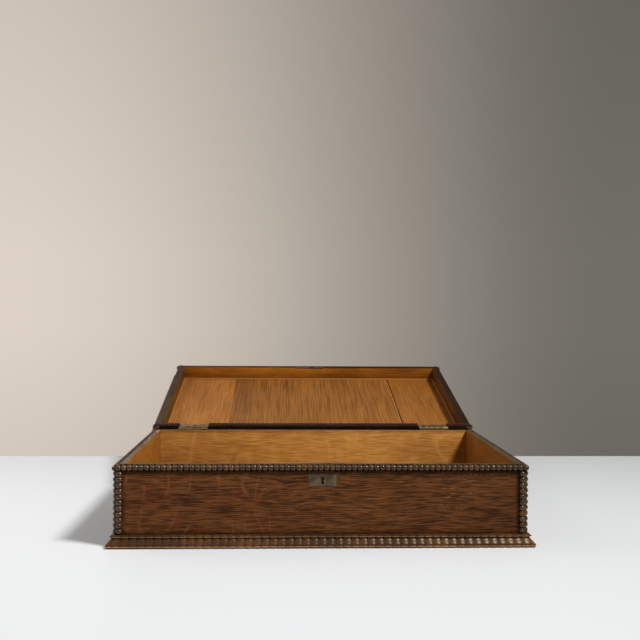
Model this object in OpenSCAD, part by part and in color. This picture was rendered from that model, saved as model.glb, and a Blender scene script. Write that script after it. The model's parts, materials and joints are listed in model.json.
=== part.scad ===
// An oak table box with turned bead strips and ripple mouldings.
// The lid is drawn shut and then swung back about its hinge pins until its moulding meets the box.
// Lengths are in millimetres. The origin is the centre of the underside, +X is right, +Y is back.

/* [Carcase] */
// Width of the box over its side boards, without the trim
body_w = 590; // [420:5:760]
// Depth of the box over its front and back boards, without the trim
body_d = 371; // [260:1:480]
// Height of the box from the table to its rim
body_h = 118; // [90:1:180]
// Thickness of the side boards
side_t = 12; // [9:0.5:18]
// Thickness of the front and back boards
front_t = 10; // [9.5:0.5:14]
// Thickness of the bottom board
bottom_t = 9; // [6:0.5:14]

/* [Lid] */
// Height of the lid from its rim to its top
lid_h = 35; // [32:1:60]
// Thickness of the boards that make the lid's top
top_t = 7; // [5:0.5:11]
// How far the lid's rails stand out past the box's boards
lid_over = 2.5; // [0.5:0.5:3]
// Thickness of the lid's two side rails
lid_side_t = 14; // [10:0.5:20]
// Thickness of the lid's front and back rails
lid_rail_t = 15; // [14:0.5:20]
// Gap that is left between the two rims when the lid is shut
shut_gap = 0.3; // [0.1:0.1:0.6]
// Width of the left board of the lid's top
top_left_w = 132.5; // [100:0.5:180]
// Width of the right board of the lid's top
top_right_w = 117; // [100:0.5:180]
// Width of the shrinkage crack that has opened along the right board joint
crack_w = 1.2; // [0.2:0.1:3]

/* [Bead strips] */
// Diameter of the turned beads
bead_d = 9.6; // [8.4:0.2:10.4]
// Distance from the middle of one bead to the next
bead_pitch = 8.03; // [7:0.01:9.2]
// Diameter of the neck between two beads
bead_neck = 5.4; // [4:0.1:7]
// Distance from a corner of the box to the edge of an upright strip
corner_inset = 0.6; // [0.2:0.1:3]

/* [Ripple moulding] */
// Height of the moulding
mould_h = 18; // [15:0.5:24]
// How far the lip of the lid's moulding stands out from the boards
mould_w = 14.6; // [12:0.2:18]
// How far the lip of the foot moulding stands out from the boards
foot_w = 12.6; // [11:0.2:18]
// Distance from one ripple to the next
ripple_pitch = 11.7; // [9:0.1:16]
// Radius of a ripple in plan, measured at the lip
ripple_r = 19.4; // [19.2:0.1:30]
// Height of the lip's edge above the moulding's foot
lip_z = 4.2; // [3:0.2:6]
// How far the foot is drawn in under the lip
foot_in = 1.9; // [0.6:0.1:3]
// Height of the round bead along the moulding's narrow edge
astragal_h = 3.6; // [2.8:0.1:4.6]
// How far that round bead stands out from the boards
astragal_out = 7.2; // [6:0.1:10]
// Depth of the groove beside that round bead
groove_in = 2.2; // [0.5:0.1:2.6]
// Thickness of the moulding's unbroken core, and of the wood round it
mould_core = 1.4; // [1:0.1:2.4]
// Number of flats that the cutter leaves down the moulding's hollow and round
ogee_steps = 4; // [4:1:6]

/* [Hinges] */
// Length of a hinge
hinge_l = 54; // [46:1:70]
// Distance from the outside of a side board to the middle of the hinge near it
hinge_in = 70; // [50:1:120]
// Thickness of a hinge leaf
leaf_t = 1.8; // [1.2:0.1:2.2]
// Gap between the two leaves of a shut hinge
leaf_gap = 0.4; // [0.2:0.1:0.8]
// Distance from the edge of a leaf to the inside of the box
leaf_inset = 0.7; // [0.2:0.1:2]
// Outer diameter of the hinge barrel
barrel_d = 5.2; // [4.8:0.2:6.4]
// Gap between the barrel and the bead strip beside it
barrel_gap = 0.1; // [0.1:0.1:1]
// Number of knuckles in a hinge
knuckles = 5; // [3:2:7]
// Gap between two knuckles
knuckle_gap = 0.3; // [0.2:0.1:0.6]
// Diameter of the hinge pin
pin_d = 2.4; // [1.8:0.1:2.8]
// Clearance all round a pin in its bore
pin_clear = 0.05; // [0.03:0.01:0.1]

/* [Screws] */
// Diameter of a screw head
screw_head_d = 4; // [3.2:0.1:4.4]
// Height of a countersunk screw head
screw_head_h = 1.2; // [0.8:0.1:1.4]
// Diameter of a screw's shank
screw_d = 2; // [1.6:0.1:2.4]
// Length of a screw
screw_l = 8; // [5:0.5:10]
// Width of a screw's slot
slot_w = 0.6; // [0.4:0.1:0.8]
// Distance between the screws of a hinge leaf
screw_gap = 19; // [12:1:20]
// Distance from the edge of a leaf to its screws
screw_edge = 2.8; // [2.4:0.1:3.2]
// Clearance all round a screw
screw_clear = 0.05; // [0.02:0.01:0.1]

/* [Keyhole plate] */
// Width of the keyhole plate
plate_w = 40.6; // [34:0.2:50]
// Height of the keyhole plate
plate_h = 17.4; // [15:0.2:22]
// Thickness of the keyhole plate
plate_t = 1.6; // [1:0.1:2.4]
// How far the plate stands out of the front board
plate_proud = 0.3; // [0.1:0.1:0.6]
// Gap round the plate in its recess
plate_gap = 0.25; // [0.1:0.05:0.5]
// Distance from the rim down to the middle of the plate
plate_drop = 22.7; // [20:0.1:30]
// Diameter of the round head of the keyhole
key_head_d = 5.4; // [4.6:0.1:6]
// Width of the keyhole's narrow neck
key_neck = 2.8; // [2:0.1:3.6]
// Diameter of the round foot of the keyhole
key_foot_d = 4; // [3.2:0.1:4.8]
// Height of the keyhole
key_h = 11.6; // [10:0.1:13]
// Distance from a plate pin to the plate's side edges
pin_edge_x = 3.9; // [2.5:0.1:6]
// Distance from a plate pin to the plate's upper and lower edges
pin_edge_z = 3.6; // [2.5:0.1:5]
// Diameter of a plate pin's head
tack_head_d = 2.4; // [1.8:0.1:3]
// Height of a plate pin's domed head
tack_head_h = 0.5; // [0.3:0.1:0.8]
// Diameter of a plate pin's shank
tack_d = 1.2; // [0.8:0.1:1.6]
// Length of a plate pin
tack_l = 4; // [3:0.5:5]

/* [Lock] */
// Width of the lock's case
case_w = 46; // [44:1:56]
// Height of the lock's case
case_h = 38; // [36:1:46]
// Thickness of the lock's case from front to back
case_d = 8; // [7.5:0.5:10]
// Thickness of the case's walls
case_t = 1.2; // [0.8:0.1:1.4]
// Thickness of wood left between the lock and the bead strip
lock_wood = 1.5; // [1:0.1:2]
// Length of the lock's top plate
top_plate_l = 63; // [60:1:76]
// Thickness of the lock's top plate
top_plate_t = 1.5; // [1:0.1:2]
// Distance from the end of a lock plate to its screws
plate_screw_in = 4.2; // [3:0.1:5]
// Metal left between a screw head and the long edge of the lock's top plate
screw_land = 0.2; // [0.1:0.1:0.4]
// Length of the plate in the lid that the hook catches
catch_l = 63; // [50:1:76]
// Width of the plate in the lid
catch_w = 12; // [11:0.5:13]
// Thickness of the plate in the lid
catch_t = 1.6; // [1:0.1:2]
// Depth of the hook's pivot below the rim
pivot_drop = 7; // [6.5:0.1:8]
// Room between the closed claw and the plate that it catches
claw_room = 0.7; // [0.4:0.1:1]
// Width of the claw
claw_w = 2.8; // [2:0.1:3]
// Thickness of the hook from front to back
hook_t = 2.8; // [2:0.1:3.2]
// Radius of the hook's hub
hub_r = 4.5; // [3.5:0.1:5.5]
// Diameter of the hook's pivot
pivot_d = 3; // [2.4:0.1:3.6]
// Gap that is left round the moving hook
hook_gap = 0.35; // [0.2:0.05:0.6]
// Angle that the hook turns to lock the lid
hook_turn = 70; // [66:1:74]
// Distance from the rim down to the claw's tip when it is unlocked
claw_below = 0.6; // [0.4:0.1:1]
// Angle from the level down to the claw's root when it is unlocked
claw_root = 46; // [46:1:56]
// Angle that the root of the claw takes up
claw_spoke = 20; // [14:1:24]
// Length of the hook's tail, which the key pushes
tail_l = 9; // [7:0.5:9.5]

/* [Hidden] */

// Each side of the box is a quarter turn from the one before
FRONT = 0;
RIGHT = 1;
BACK = 2;
LEFT = 3;

bead_r = bead_d / 2;
lid_w = body_w + 2 * lid_over;
lid_d = body_d + 2 * lid_over;
lid_rim_z = body_h + shut_gap;
lid_top_z = lid_rim_z + lid_h;
rail_h = lid_h - top_t;

// The pins lie just behind the beads of the back rim, half way between the two leaves
pin_y = body_d / 2 + bead_r + barrel_gap + barrel_d / 2;
pin_z = body_h + leaf_t + leaf_gap / 2;
// The whole hinge is let into the lid's back rail
hinge_seat_z = pin_z + leaf_gap / 2 + leaf_t;
hinge_x = body_w / 2 - hinge_in;
leaf_edge_y = body_d / 2 - front_t + leaf_inset;
hinge_screw_y = leaf_edge_y + screw_edge;

// The open lid leans on the upright beads of the back with the lip of its moulding
stop_gap = 0.3;
stop_reach_y = lid_d / 2 + mould_w - pin_y;
stop_reach_z = lid_top_z - lip_z - pin_z;
stop_r = sqrt(pow(stop_reach_y, 2) + pow(stop_reach_z, 2));
stop_back = pin_y - body_d / 2 - bead_r - stop_gap;
lid_open = atan2(stop_reach_z, stop_reach_y) + acos(-stop_back / stop_r);

plate_z = body_h - plate_drop;
case_y = -body_d / 2 + bead_r + lock_wood;
hook_y = case_y + case_t + hook_gap;
pivot_z = body_h - pivot_drop;
claw_in = pivot_drop + shut_gap + catch_t + claw_room;
claw_out = claw_in + claw_w;
claw_tip = asin((pivot_drop - claw_below) / claw_out);
pocket_top = pivot_z + claw_out + hook_gap;
catch_y = -lid_d / 2 + lid_rail_t;

oak_dark = [0.26, 0.16, 0.09];
oak_light = [0.66, 0.42, 0.2];
bead_brown = [0.14, 0.09, 0.06];
old_brass = [0.45, 0.39, 0.25];
old_steel = [0.28, 0.27, 0.25];
cut = 1;

// Puts a shape that was drawn along X, with its outward side towards +Y, on one side of a w by d box
module on_side(side, w, d) {
    rotate([0, 0, 180 + 90 * side])
        translate([0, side % 2 == 0 ? d / 2 : w / 2, 0])
            children();
}

function side_length(side, w, d) = side % 2 == 0 ? w : d;

// Swings the shut lid open about its pins
module swing_open() {
    translate([0, pin_y, pin_z])
        rotate([-lid_open, 0, 0])
            translate([0, -pin_y, -pin_z])
                children();
}

// The plan between two distances out from a face, with its ends cut at 45 degrees for the corners
module mitre_outline(length, out_from, out_to) {
    polygon([
        [-length / 2 - out_from, out_from], [length / 2 + out_from, out_from],
        [length / 2 + out_to, out_to], [-length / 2 - out_to, out_to]
    ]);
}

// A turned strip of beads standing on Z, whole for 360 degrees or split for 180
module bead_strip(length, pitch, turn) {
    rotate_extrude(angle = turn, $fn = 40)
        intersection() {
            union() {
                for (i = [0:ceil(length / pitch) - 1])
                    translate([0, (i + 0.5) * pitch]) circle(d = bead_d, $fn = 40);
                square([bead_neck / 2, length]);
            }
            square([bead_r, length]);
        }
}

// The strip let into the top edge of one side, cut from longer stock with a bead centred on one corner
module rim_beads(side) {
    length = side_length(side, body_w, body_d);
    lead = 1.5 * bead_pitch;
    color(bead_brown)
        on_side(side, body_w, body_d)
            intersection() {
                translate([-length / 2 - lead, 0, body_h - bead_r])
                    rotate([0, 90, 0])
                        bead_strip(length + lead + bead_d, bead_pitch, 360);
                translate([0, 0, body_h - bead_d - cut])
                    linear_extrude(height = bead_d + 2 * cut)
                        mitre_outline(length, -bead_r - cut, bead_r + cut);
            }
}

// A split strip standing on one face beside a corner, between two heights
module upright_beads(side, end, w, d, z_from, z_to) {
    length = side_length(side, w, d);
    beads = max(1, round((z_to - z_from) / bead_pitch));
    color(bead_brown)
        on_side(side, w, d)
            translate([end * (length / 2 - corner_inset - bead_r), 0, z_from])
                bead_strip(z_to - z_from, (z_to - z_from) / beads, 180);
}

module corner_beads(side, end) {
    upright_beads(side, end, body_w, body_d, mould_h, body_h - bead_d);
}

module lid_beads(side, end) {
    swing_open()
        upright_beads(side, end, lid_w, lid_d, lid_rim_z, lid_top_z - mould_h);
}

// Outline of the moulding: X is the distance from the line behind it, Y is the height above its foot
module mould_outline(behind, reach) {
    groove_out = behind + astragal_out - groove_in;
    lip_out = behind + reach;
    astragal_z = mould_h - astragal_h;
    ogee = [
        for (i = [0:ogee_steps])
            [
                (groove_out + lip_out) / 2 + (lip_out - groove_out) / 2 * cos(180 * i / ogee_steps),
                lip_z + (astragal_z - lip_z) * i / ogee_steps
            ]
    ];
    polygon(concat(
        [[behind - cut, 0], [lip_out - foot_in, 0], [lip_out - foot_in / 4, lip_z / 3]],
        ogee,
        [
            [behind + astragal_out, astragal_z + astragal_h / 3],
            [behind + astragal_out, astragal_z + astragal_h * 2 / 3],
            [groove_out, mould_h], [behind - cut, mould_h]
        ]
    ));
}

// One ripple of the moulding, a slice of a round turning, at a place along the bar
module ripple(x, reach) {
    behind = ripple_r - reach;
    translate([x, 0, 0])
        intersection() {
            translate([0, -behind, 0]) rotate_extrude($fn = 80) mould_outline(behind, reach);
            translate([-ripple_pitch / 2, 0, -cut]) cube([ripple_pitch, reach + cut, mould_h + 2 * cut]);
        }
}

// A straight bar of ripple moulding, cut from longer stock with a mitre at each end
module ripple_bar(length, reach) {
    count = ceil((length + 2 * reach) / ripple_pitch);
    first = -(count - 1) * ripple_pitch / 2;
    mitred = ceil((count * ripple_pitch - length) / 2 / ripple_pitch);
    for (i = [mitred:count - 1 - mitred]) ripple(first + i * ripple_pitch, reach);
    translate([-length / 2, mould_core, mould_core]) cube([length, mould_core, mould_h - 2 * mould_core]);
    intersection() {
        union() {
            for (i = [0:mitred - 1]) {
                ripple(first + i * ripple_pitch, reach);
                ripple(-first - i * ripple_pitch, reach);
            }
        }
        translate([0, 0, -cut])
            linear_extrude(height = mould_h + 2 * cut) mitre_outline(length, -cut, reach + cut);
    }
}

module base_ripple(side) {
    color(bead_brown)
        on_side(side, body_w, body_d)
            ripple_bar(side_length(side, body_w, body_d), foot_w);
}

// The same moulding turned upside down round the lid's top edge
module lid_ripple(side) {
    color(bead_brown)
        swing_open()
            translate([0, 0, lid_top_z])
                mirror([0, 0, 1])
                    on_side(side, lid_w, lid_d)
                        ripple_bar(side_length(side, lid_w, lid_d), mould_w);
}

// The ledge round the rim that the bead strips lie in
module rim_ledge() {
    difference() {
        translate([-body_w / 2 - cut, -body_d / 2 - cut, body_h - bead_d])
            cube([body_w + 2 * cut, body_d + 2 * cut, bead_d + cut]);
        translate([-body_w / 2 + bead_r, -body_d / 2 + bead_r, body_h - bead_d - cut])
            cube([body_w - bead_d, body_d - bead_d, bead_d + 3 * cut]);
    }
}

// A screw with its head at the origin and its shank towards -Z; grow is the clearance of its hole
module screw_solid(length, grow) {
    translate([0, 0, -screw_head_h - grow])
        cylinder(h = screw_head_h + grow, d1 = screw_d + 2 * grow, d2 = screw_head_d + 2 * grow, $fn = 32);
    translate([0, 0, -length - grow]) cylinder(h = length + grow, d = screw_d + 2 * grow, $fn = 32);
}

module screw(length) {
    difference() {
        screw_solid(length, 0);
        translate([-screw_head_d, -slot_w / 2, -screw_head_h / 2]) cube([2 * screw_head_d, slot_w, screw_head_h]);
    }
}

// Outline of the keyhole, centred on the plate: a round head, a neck and a round foot
module keyhole_outline() {
    translate([0, key_h / 2 - key_head_d / 2]) circle(d = key_head_d, $fn = 40);
    translate([0, -key_h / 2 + key_foot_d / 2]) circle(d = key_foot_d, $fn = 32);
    translate([-key_neck / 2, -key_h / 2 + key_foot_d / 2])
        square([key_neck, key_h - key_foot_d / 2 - key_head_d / 2]);
}

// The keyhole as a solid that runs back from a given depth
module keyhole(from_y, depth) {
    translate([0, from_y + depth, plate_z])
        rotate([90, 0, 0])
            linear_extrude(height = depth) keyhole_outline();
}

module place_tacks() {
    for (sx = [-1, 1])
        for (sz = [-1, 1])
            translate([sx * (plate_w / 2 - pin_edge_x), -body_d / 2 - plate_proud, plate_z + sz * (plate_h / 2 - pin_edge_z)])
                rotate([90, 0, 0])
                    children();
}

module tack_holes() {
    place_tacks()
        translate([0, 0, -tack_l - screw_clear])
            cylinder(h = tack_l + screw_clear + cut, d = tack_d + 2 * screw_clear, $fn = 24);
}

module place_lock_screws() {
    for (sx = [-1, 1])
        translate([sx * (top_plate_l / 2 - plate_screw_in), case_y + screw_head_d / 2 + screw_land, body_h])
            children();
}

module front_board() {
    plate_back = plate_t - plate_proud;
    color(oak_dark)
        difference() {
            translate([-body_w / 2, -body_d / 2, bottom_t]) cube([body_w, front_t, body_h - bottom_t]);
            rim_ledge();
            translate([
                -plate_w / 2 - plate_gap, -body_d / 2 - cut, plate_z - plate_h / 2 - plate_gap
            ])
                cube([plate_w + 2 * plate_gap, plate_back + cut, plate_h + 2 * plate_gap]);
            keyhole(-body_d / 2, front_t);
            translate([-case_w / 2, case_y, body_h - case_h]) cube([case_w, case_d, case_h + cut]);
            translate([-top_plate_l / 2, case_y, body_h - top_plate_t]) cube([top_plate_l, case_d, top_plate_t + cut]);
            tack_holes();
            place_lock_screws() screw_solid(screw_l, screw_clear);
        }
}

module back_board() {
    color(oak_light)
        difference() {
            translate([-body_w / 2, body_d / 2 - front_t, bottom_t]) cube([body_w, front_t, body_h - bottom_t]);
            rim_ledge();
            place_hinge_screws(-1) screw_solid(screw_l, screw_clear);
        }
}

module side_board(sx) {
    color(oak_dark)
        difference() {
            translate([sx > 0 ? body_w / 2 - side_t : -body_w / 2, -body_d / 2 + front_t, bottom_t])
                cube([side_t, body_d - 2 * front_t, body_h - bottom_t]);
            rim_ledge();
        }
}

module left_board() {
    side_board(-1);
}

module right_board() {
    side_board(1);
}

module bottom_board() {
    color(oak_light)
        translate([-body_w / 2, -body_d / 2, 0]) cube([body_w, body_d, bottom_t]);
}

module keyhole_plate() {
    color(old_brass)
        difference() {
            translate([-plate_w / 2, -body_d / 2 - plate_proud, plate_z - plate_h / 2])
                cube([plate_w, plate_t, plate_h]);
            keyhole(-body_d / 2 - plate_proud - cut, plate_t + 2 * cut);
            tack_holes();
        }
}

module keyhole_plate_pins() {
    tack_head_r = (pow(tack_head_d / 2, 2) + pow(tack_head_h, 2)) / (2 * tack_head_h);
    color(old_brass)
        place_tacks() {
            intersection() {
                translate([0, 0, tack_head_h - tack_head_r]) sphere(r = tack_head_r, $fn = 40);
                cylinder(h = tack_head_d, d = tack_head_d, $fn = 32);
            }
            translate([0, 0, -tack_l]) cylinder(h = tack_l, d = tack_d, $fn = 24);
        }
}

// The part of a ring that the claw sweeps between two radii, with room for the claw round it
module claw_way(grow) {
    translate([0, hook_y + hook_t + grow, pivot_z])
        rotate([90, 0, 0])
            difference() {
                cylinder(h = hook_t + 2 * grow, r = claw_out + grow, $fn = 96);
                translate([0, 0, -cut]) cylinder(h = hook_t + 2 * grow + 2 * cut, r = claw_in - grow, $fn = 96);
            }
}

// A straight slot that lets the claw through one plate
module claw_slot(z_from, z_to) {
    near = claw_in - hook_gap;
    far = claw_out + hook_gap;
    x_from = sqrt(max(0, pow(near, 2) - pow(z_to - pivot_z, 2)));
    x_to = sqrt(pow(far, 2) - pow(z_from - pivot_z, 2));
    translate([x_from, hook_y - hook_gap, z_from - cut])
        cube([x_to - x_from, hook_t + 2 * hook_gap, z_to - z_from + 2 * cut]);
}

module lock_case() {
    color(old_steel)
        difference() {
            union() {
                translate([-case_w / 2, case_y, body_h - case_h]) cube([case_w, case_d - case_t, case_h]);
                translate([-top_plate_l / 2, case_y, body_h - top_plate_t]) cube([top_plate_l, case_d, top_plate_t]);
            }
            translate([-case_w / 2 + case_t, case_y + case_t, body_h - case_h + case_t])
                cube([case_w - 2 * case_t, case_d - 2 * case_t + cut, case_h - case_t - top_plate_t]);
            translate([-case_w / 2, case_y + case_d - case_t, body_h - case_h - cut])
                cube([case_w, case_t + cut, case_h - top_plate_t + cut]);
            keyhole(case_y - cut, case_t + 2 * cut);
            claw_slot(body_h - top_plate_t, body_h);
            place_lock_screws() screw_solid(screw_l, screw_clear);
        }
}

module lock_cap() {
    color(old_steel)
        translate([-case_w / 2, case_y + case_d - case_t, body_h - case_h])
            cube([case_w, case_t, case_h - top_plate_t]);
}

module lock_pivot() {
    color(old_steel)
        translate([0, case_y + case_d - case_t, pivot_z])
            rotate([90, 0, 0])
                cylinder(h = case_d - 2 * case_t, d = pivot_d, $fn = 32);
}

// A slice of a disc between two angles from +X towards +Z
module wedge(r, from_a, to_a, h) {
    rotate([0, 0, from_a])
        rotate_extrude(angle = to_a - from_a, $fn = 64)
            square([r, h]);
}

// The hook turns about its pivot: a curved claw, the spoke that carries it, a hub and a tail for the key
module lock_hook() {
    tail_rest = -90 - hook_turn / 2;
    color(old_steel)
        translate([0, hook_y + hook_t, pivot_z])
            rotate([90, 0, 0])
                difference() {
                    union() {
                        difference() {
                            wedge(claw_out, -claw_root - claw_spoke, claw_tip, hook_t);
                            translate([0, 0, -cut]) cylinder(h = hook_t + 2 * cut, r = claw_in, $fn = 96);
                        }
                        wedge(claw_in + claw_w / 2, -claw_root - claw_spoke, -claw_root, hook_t);
                        cylinder(h = hook_t, r = hub_r, $fn = 48);
                        rotate([0, 0, tail_rest])
                            translate([0, -claw_w / 2, 0]) cube([tail_l, claw_w, hook_t]);
                    }
                    translate([0, 0, -cut])
                        cylinder(h = hook_t + 2 * cut, d = pivot_d + 2 * pin_clear, $fn = 48);
                }
}

module lock_screws() {
    color(old_steel)
        place_lock_screws() screw(screw_l);
}

// A rail of the lid, shut, between two points in plan
module rail_block(x0, x1, y0, y1) {
    translate([x0, y0, lid_rim_z]) cube([x1 - x0, y1 - y0, rail_h]);
}

module lid_front_rail() {
    color(oak_dark)
        swing_open()
            difference() {
                rail_block(-lid_w / 2, lid_w / 2, -lid_d / 2, catch_y);
                translate([-catch_l / 2, catch_y - catch_w, lid_rim_z - cut]) cube([catch_l, catch_w + cut, catch_t + cut]);
                translate([-claw_out, hook_y - hook_gap, lid_rim_z])
                    cube([2 * claw_out, hook_t + 2 * hook_gap, pocket_top - lid_rim_z]);
                place_catch_screws() screw_solid(screw_l, screw_clear);
            }
}

module lid_back_rail() {
    color(oak_dark)
        swing_open()
            difference() {
                rail_block(-lid_w / 2, lid_w / 2, lid_d / 2 - lid_rail_t, lid_d / 2);
                for (sx = [-1, 1])
                    translate([sx * hinge_x - hinge_l / 2 - knuckle_gap, lid_d / 2 - lid_rail_t - cut, lid_rim_z - cut])
                        cube([hinge_l + 2 * knuckle_gap, lid_rail_t + 2 * cut, hinge_seat_z - lid_rim_z + cut]);
                place_hinge_screws(1) screw_solid(screw_l, screw_clear);
            }
}

module lid_side_rail(sx) {
    color(oak_dark)
        swing_open()
            rail_block(
                sx > 0 ? lid_w / 2 - lid_side_t : -lid_w / 2, sx > 0 ? lid_w / 2 : -lid_w / 2 + lid_side_t,
                -lid_d / 2 + lid_rail_t, lid_d / 2 - lid_rail_t
            );
}

module lid_left_rail() {
    lid_side_rail(-1);
}

module lid_right_rail() {
    lid_side_rail(1);
}

// One board of the lid's top, with its grain from front to back
module top_board(x0, x1) {
    color(oak_light)
        swing_open()
            translate([x0, -lid_d / 2, lid_top_z - top_t]) cube([x1 - x0, lid_d, top_t]);
}

module lid_top_left_board() {
    top_board(-lid_w / 2, top_left_w - lid_w / 2);
}

module lid_top_middle_board() {
    top_board(top_left_w - lid_w / 2, lid_w / 2 - top_right_w - crack_w);
}

module lid_top_right_board() {
    top_board(lid_w / 2 - top_right_w, lid_w / 2);
}

module place_catch_screws() {
    for (sx = [-1, 1])
        translate([sx * (catch_l / 2 - plate_screw_in), catch_y - catch_w / 2, lid_rim_z])
            mirror([0, 0, 1])
                children();
}

module catch_plate() {
    color(old_steel)
        swing_open()
            difference() {
                translate([-catch_l / 2, catch_y - catch_w, lid_rim_z]) cube([catch_l, catch_w, catch_t]);
                claw_slot(lid_rim_z, lid_rim_z + catch_t);
                place_catch_screws() screw_solid(screw_l, screw_clear);
            }
}

module catch_plate_screws() {
    color(old_steel)
        swing_open()
            place_catch_screws() screw(screw_l);
}

// Screw places of the hinges: on the box leaves for -1, on the lid leaves for 1, heads in the leaf faces
module place_hinge_screws(part) {
    for (sx = [-1, 1])
        for (i = [-1:1])
            translate([sx * hinge_x + i * screw_gap, hinge_screw_y, pin_z + part * leaf_gap / 2])
                mirror([0, 0, part > 0 ? 1 : 0])
                    children();
}

// One leaf of a hinge: the box's leaf for -1 has the outer knuckles, the lid's leaf for 1 the others
module hinge_leaf(sx, part) {
    step = hinge_l / knuckles;
    color(old_brass)
        translate([sx * hinge_x, 0, 0])
            difference() {
                union() {
                    translate([-hinge_l / 2, leaf_edge_y, part > 0 ? hinge_seat_z - leaf_t : body_h])
                        cube([hinge_l, pin_y - leaf_edge_y - barrel_d / 2 - knuckle_gap, leaf_t]);
                    for (k = [0:knuckles - 1])
                        if ((k % 2 == 0) == (part < 0))
                            translate([-hinge_l / 2 + k * step, 0, 0])
                                knuckle(
                                    k == 0 ? 0 : knuckle_gap / 2,
                                    k == knuckles - 1 ? step : step - knuckle_gap / 2, part
                                );
                }
                translate([-hinge_l / 2 - cut, pin_y, pin_z])
                    rotate([0, 90, 0])
                        cylinder(h = hinge_l + 2 * cut, d = pin_d + 2 * pin_clear, $fn = 48);
                translate([-sx * hinge_x, 0, 0])
                    place_hinge_screws(part) screw_solid(screw_l, screw_clear);
            }
}

// A knuckle between two places along the barrel, with the tongue of leaf that is rolled into it
module knuckle(x0, x1, part) {
    translate([x0, pin_y, pin_z])
        rotate([0, 90, 0])
            cylinder(h = x1 - x0, d = barrel_d, $fn = 48);
    translate([x0, leaf_edge_y, part > 0 ? hinge_seat_z - leaf_t : body_h])
        cube([x1 - x0, pin_y - leaf_edge_y, leaf_t]);
}

module hinge_pin(sx) {
    color(old_brass)
        translate([sx * hinge_x - hinge_l / 2, pin_y, pin_z])
            rotate([0, 90, 0])
                cylinder(h = hinge_l, d = pin_d, $fn = 48);
}

module left_hinge_box_leaf() {
    hinge_leaf(-1, -1);
}

module left_hinge_lid_leaf() {
    swing_open() hinge_leaf(-1, 1);
}

module left_hinge_pin() {
    hinge_pin(-1);
}

module right_hinge_box_leaf() {
    hinge_leaf(1, -1);
}

module right_hinge_lid_leaf() {
    swing_open() hinge_leaf(1, 1);
}

module right_hinge_pin() {
    hinge_pin(1);
}

module hinge_screws_box() {
    color(old_brass)
        place_hinge_screws(-1) screw(screw_l);
}

module hinge_screws_lid() {
    color(old_brass)
        swing_open()
            place_hinge_screws(1) screw(screw_l);
}

front_board();
back_board();
left_board();
right_board();
bottom_board();
rim_beads(FRONT);  // rim_beads_front
rim_beads(RIGHT);  // rim_beads_right
rim_beads(BACK);  // rim_beads_back
rim_beads(LEFT);  // rim_beads_left
corner_beads(FRONT, 1);  // corner_beads_front_left
corner_beads(FRONT, -1);  // corner_beads_front_right
corner_beads(RIGHT, 1);  // corner_beads_right_front
corner_beads(RIGHT, -1);  // corner_beads_right_back
corner_beads(BACK, 1);  // corner_beads_back_right
corner_beads(BACK, -1);  // corner_beads_back_left
corner_beads(LEFT, 1);  // corner_beads_left_back
corner_beads(LEFT, -1);  // corner_beads_left_front
base_ripple(FRONT);  // base_ripple_front
base_ripple(RIGHT);  // base_ripple_right
base_ripple(BACK);  // base_ripple_back
base_ripple(LEFT);  // base_ripple_left
keyhole_plate();
keyhole_plate_pins();
lock_case();
lock_cap();
lock_hook();
lock_pivot();
lock_screws();
lid_front_rail();
lid_back_rail();
lid_left_rail();
lid_right_rail();
lid_top_left_board();
lid_top_middle_board();
lid_top_right_board();
lid_beads(FRONT, 1);  // lid_beads_front_left
lid_beads(FRONT, -1);  // lid_beads_front_right
lid_beads(RIGHT, 1);  // lid_beads_right_front
lid_beads(RIGHT, -1);  // lid_beads_right_back
lid_beads(BACK, 1);  // lid_beads_back_right
lid_beads(BACK, -1);  // lid_beads_back_left
lid_beads(LEFT, 1);  // lid_beads_left_back
lid_beads(LEFT, -1);  // lid_beads_left_front
lid_ripple(FRONT);  // lid_ripple_front
lid_ripple(RIGHT);  // lid_ripple_right
lid_ripple(BACK);  // lid_ripple_back
lid_ripple(LEFT);  // lid_ripple_left
catch_plate();
catch_plate_screws();
left_hinge_box_leaf();
left_hinge_lid_leaf();
left_hinge_pin();
right_hinge_box_leaf();
right_hinge_lid_leaf();
right_hinge_pin();
hinge_screws_box();
hinge_screws_lid();
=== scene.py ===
"""Dresses an oak table box with its lid laid open: boards, bead strips, ripple mouldings, hinges and lock."""
import json
import logging
import math
from dataclasses import dataclass, field, replace
from enum import Enum
from typing import Callable, Iterable, Optional, Sequence, Union

import bmesh
import bpy
from mathutils import Matrix, Vector


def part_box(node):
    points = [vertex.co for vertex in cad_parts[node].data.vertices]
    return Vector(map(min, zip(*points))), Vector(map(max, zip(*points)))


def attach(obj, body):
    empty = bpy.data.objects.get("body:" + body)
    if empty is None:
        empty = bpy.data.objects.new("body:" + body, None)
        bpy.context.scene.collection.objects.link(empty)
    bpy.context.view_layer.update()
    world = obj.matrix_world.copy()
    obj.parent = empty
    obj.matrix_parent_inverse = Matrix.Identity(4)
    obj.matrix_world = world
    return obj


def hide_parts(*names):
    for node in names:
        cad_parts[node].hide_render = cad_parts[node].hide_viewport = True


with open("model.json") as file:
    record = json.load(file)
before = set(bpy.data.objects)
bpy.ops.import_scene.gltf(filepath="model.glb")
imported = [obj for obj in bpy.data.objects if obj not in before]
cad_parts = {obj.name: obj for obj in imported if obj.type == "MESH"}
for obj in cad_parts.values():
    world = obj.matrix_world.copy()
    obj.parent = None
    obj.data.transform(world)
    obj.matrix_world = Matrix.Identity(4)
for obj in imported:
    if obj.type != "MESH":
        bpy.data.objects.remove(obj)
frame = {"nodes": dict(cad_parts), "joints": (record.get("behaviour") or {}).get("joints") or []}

LOG = logging.getLogger("table_box")
RGB = tuple[float, float, float]
Plane = tuple[Vector, Vector]
Socket = bpy.types.NodeSocket
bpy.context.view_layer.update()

MM = 0.001
HAIR = 0.02 * MM
SAME_POINT = 0.002 * MM
ON_PLANE = 0.0001 * MM
FLAT_ANGLE = math.radians(1.0)
CORNER_ANGLE = 1.0
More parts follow.
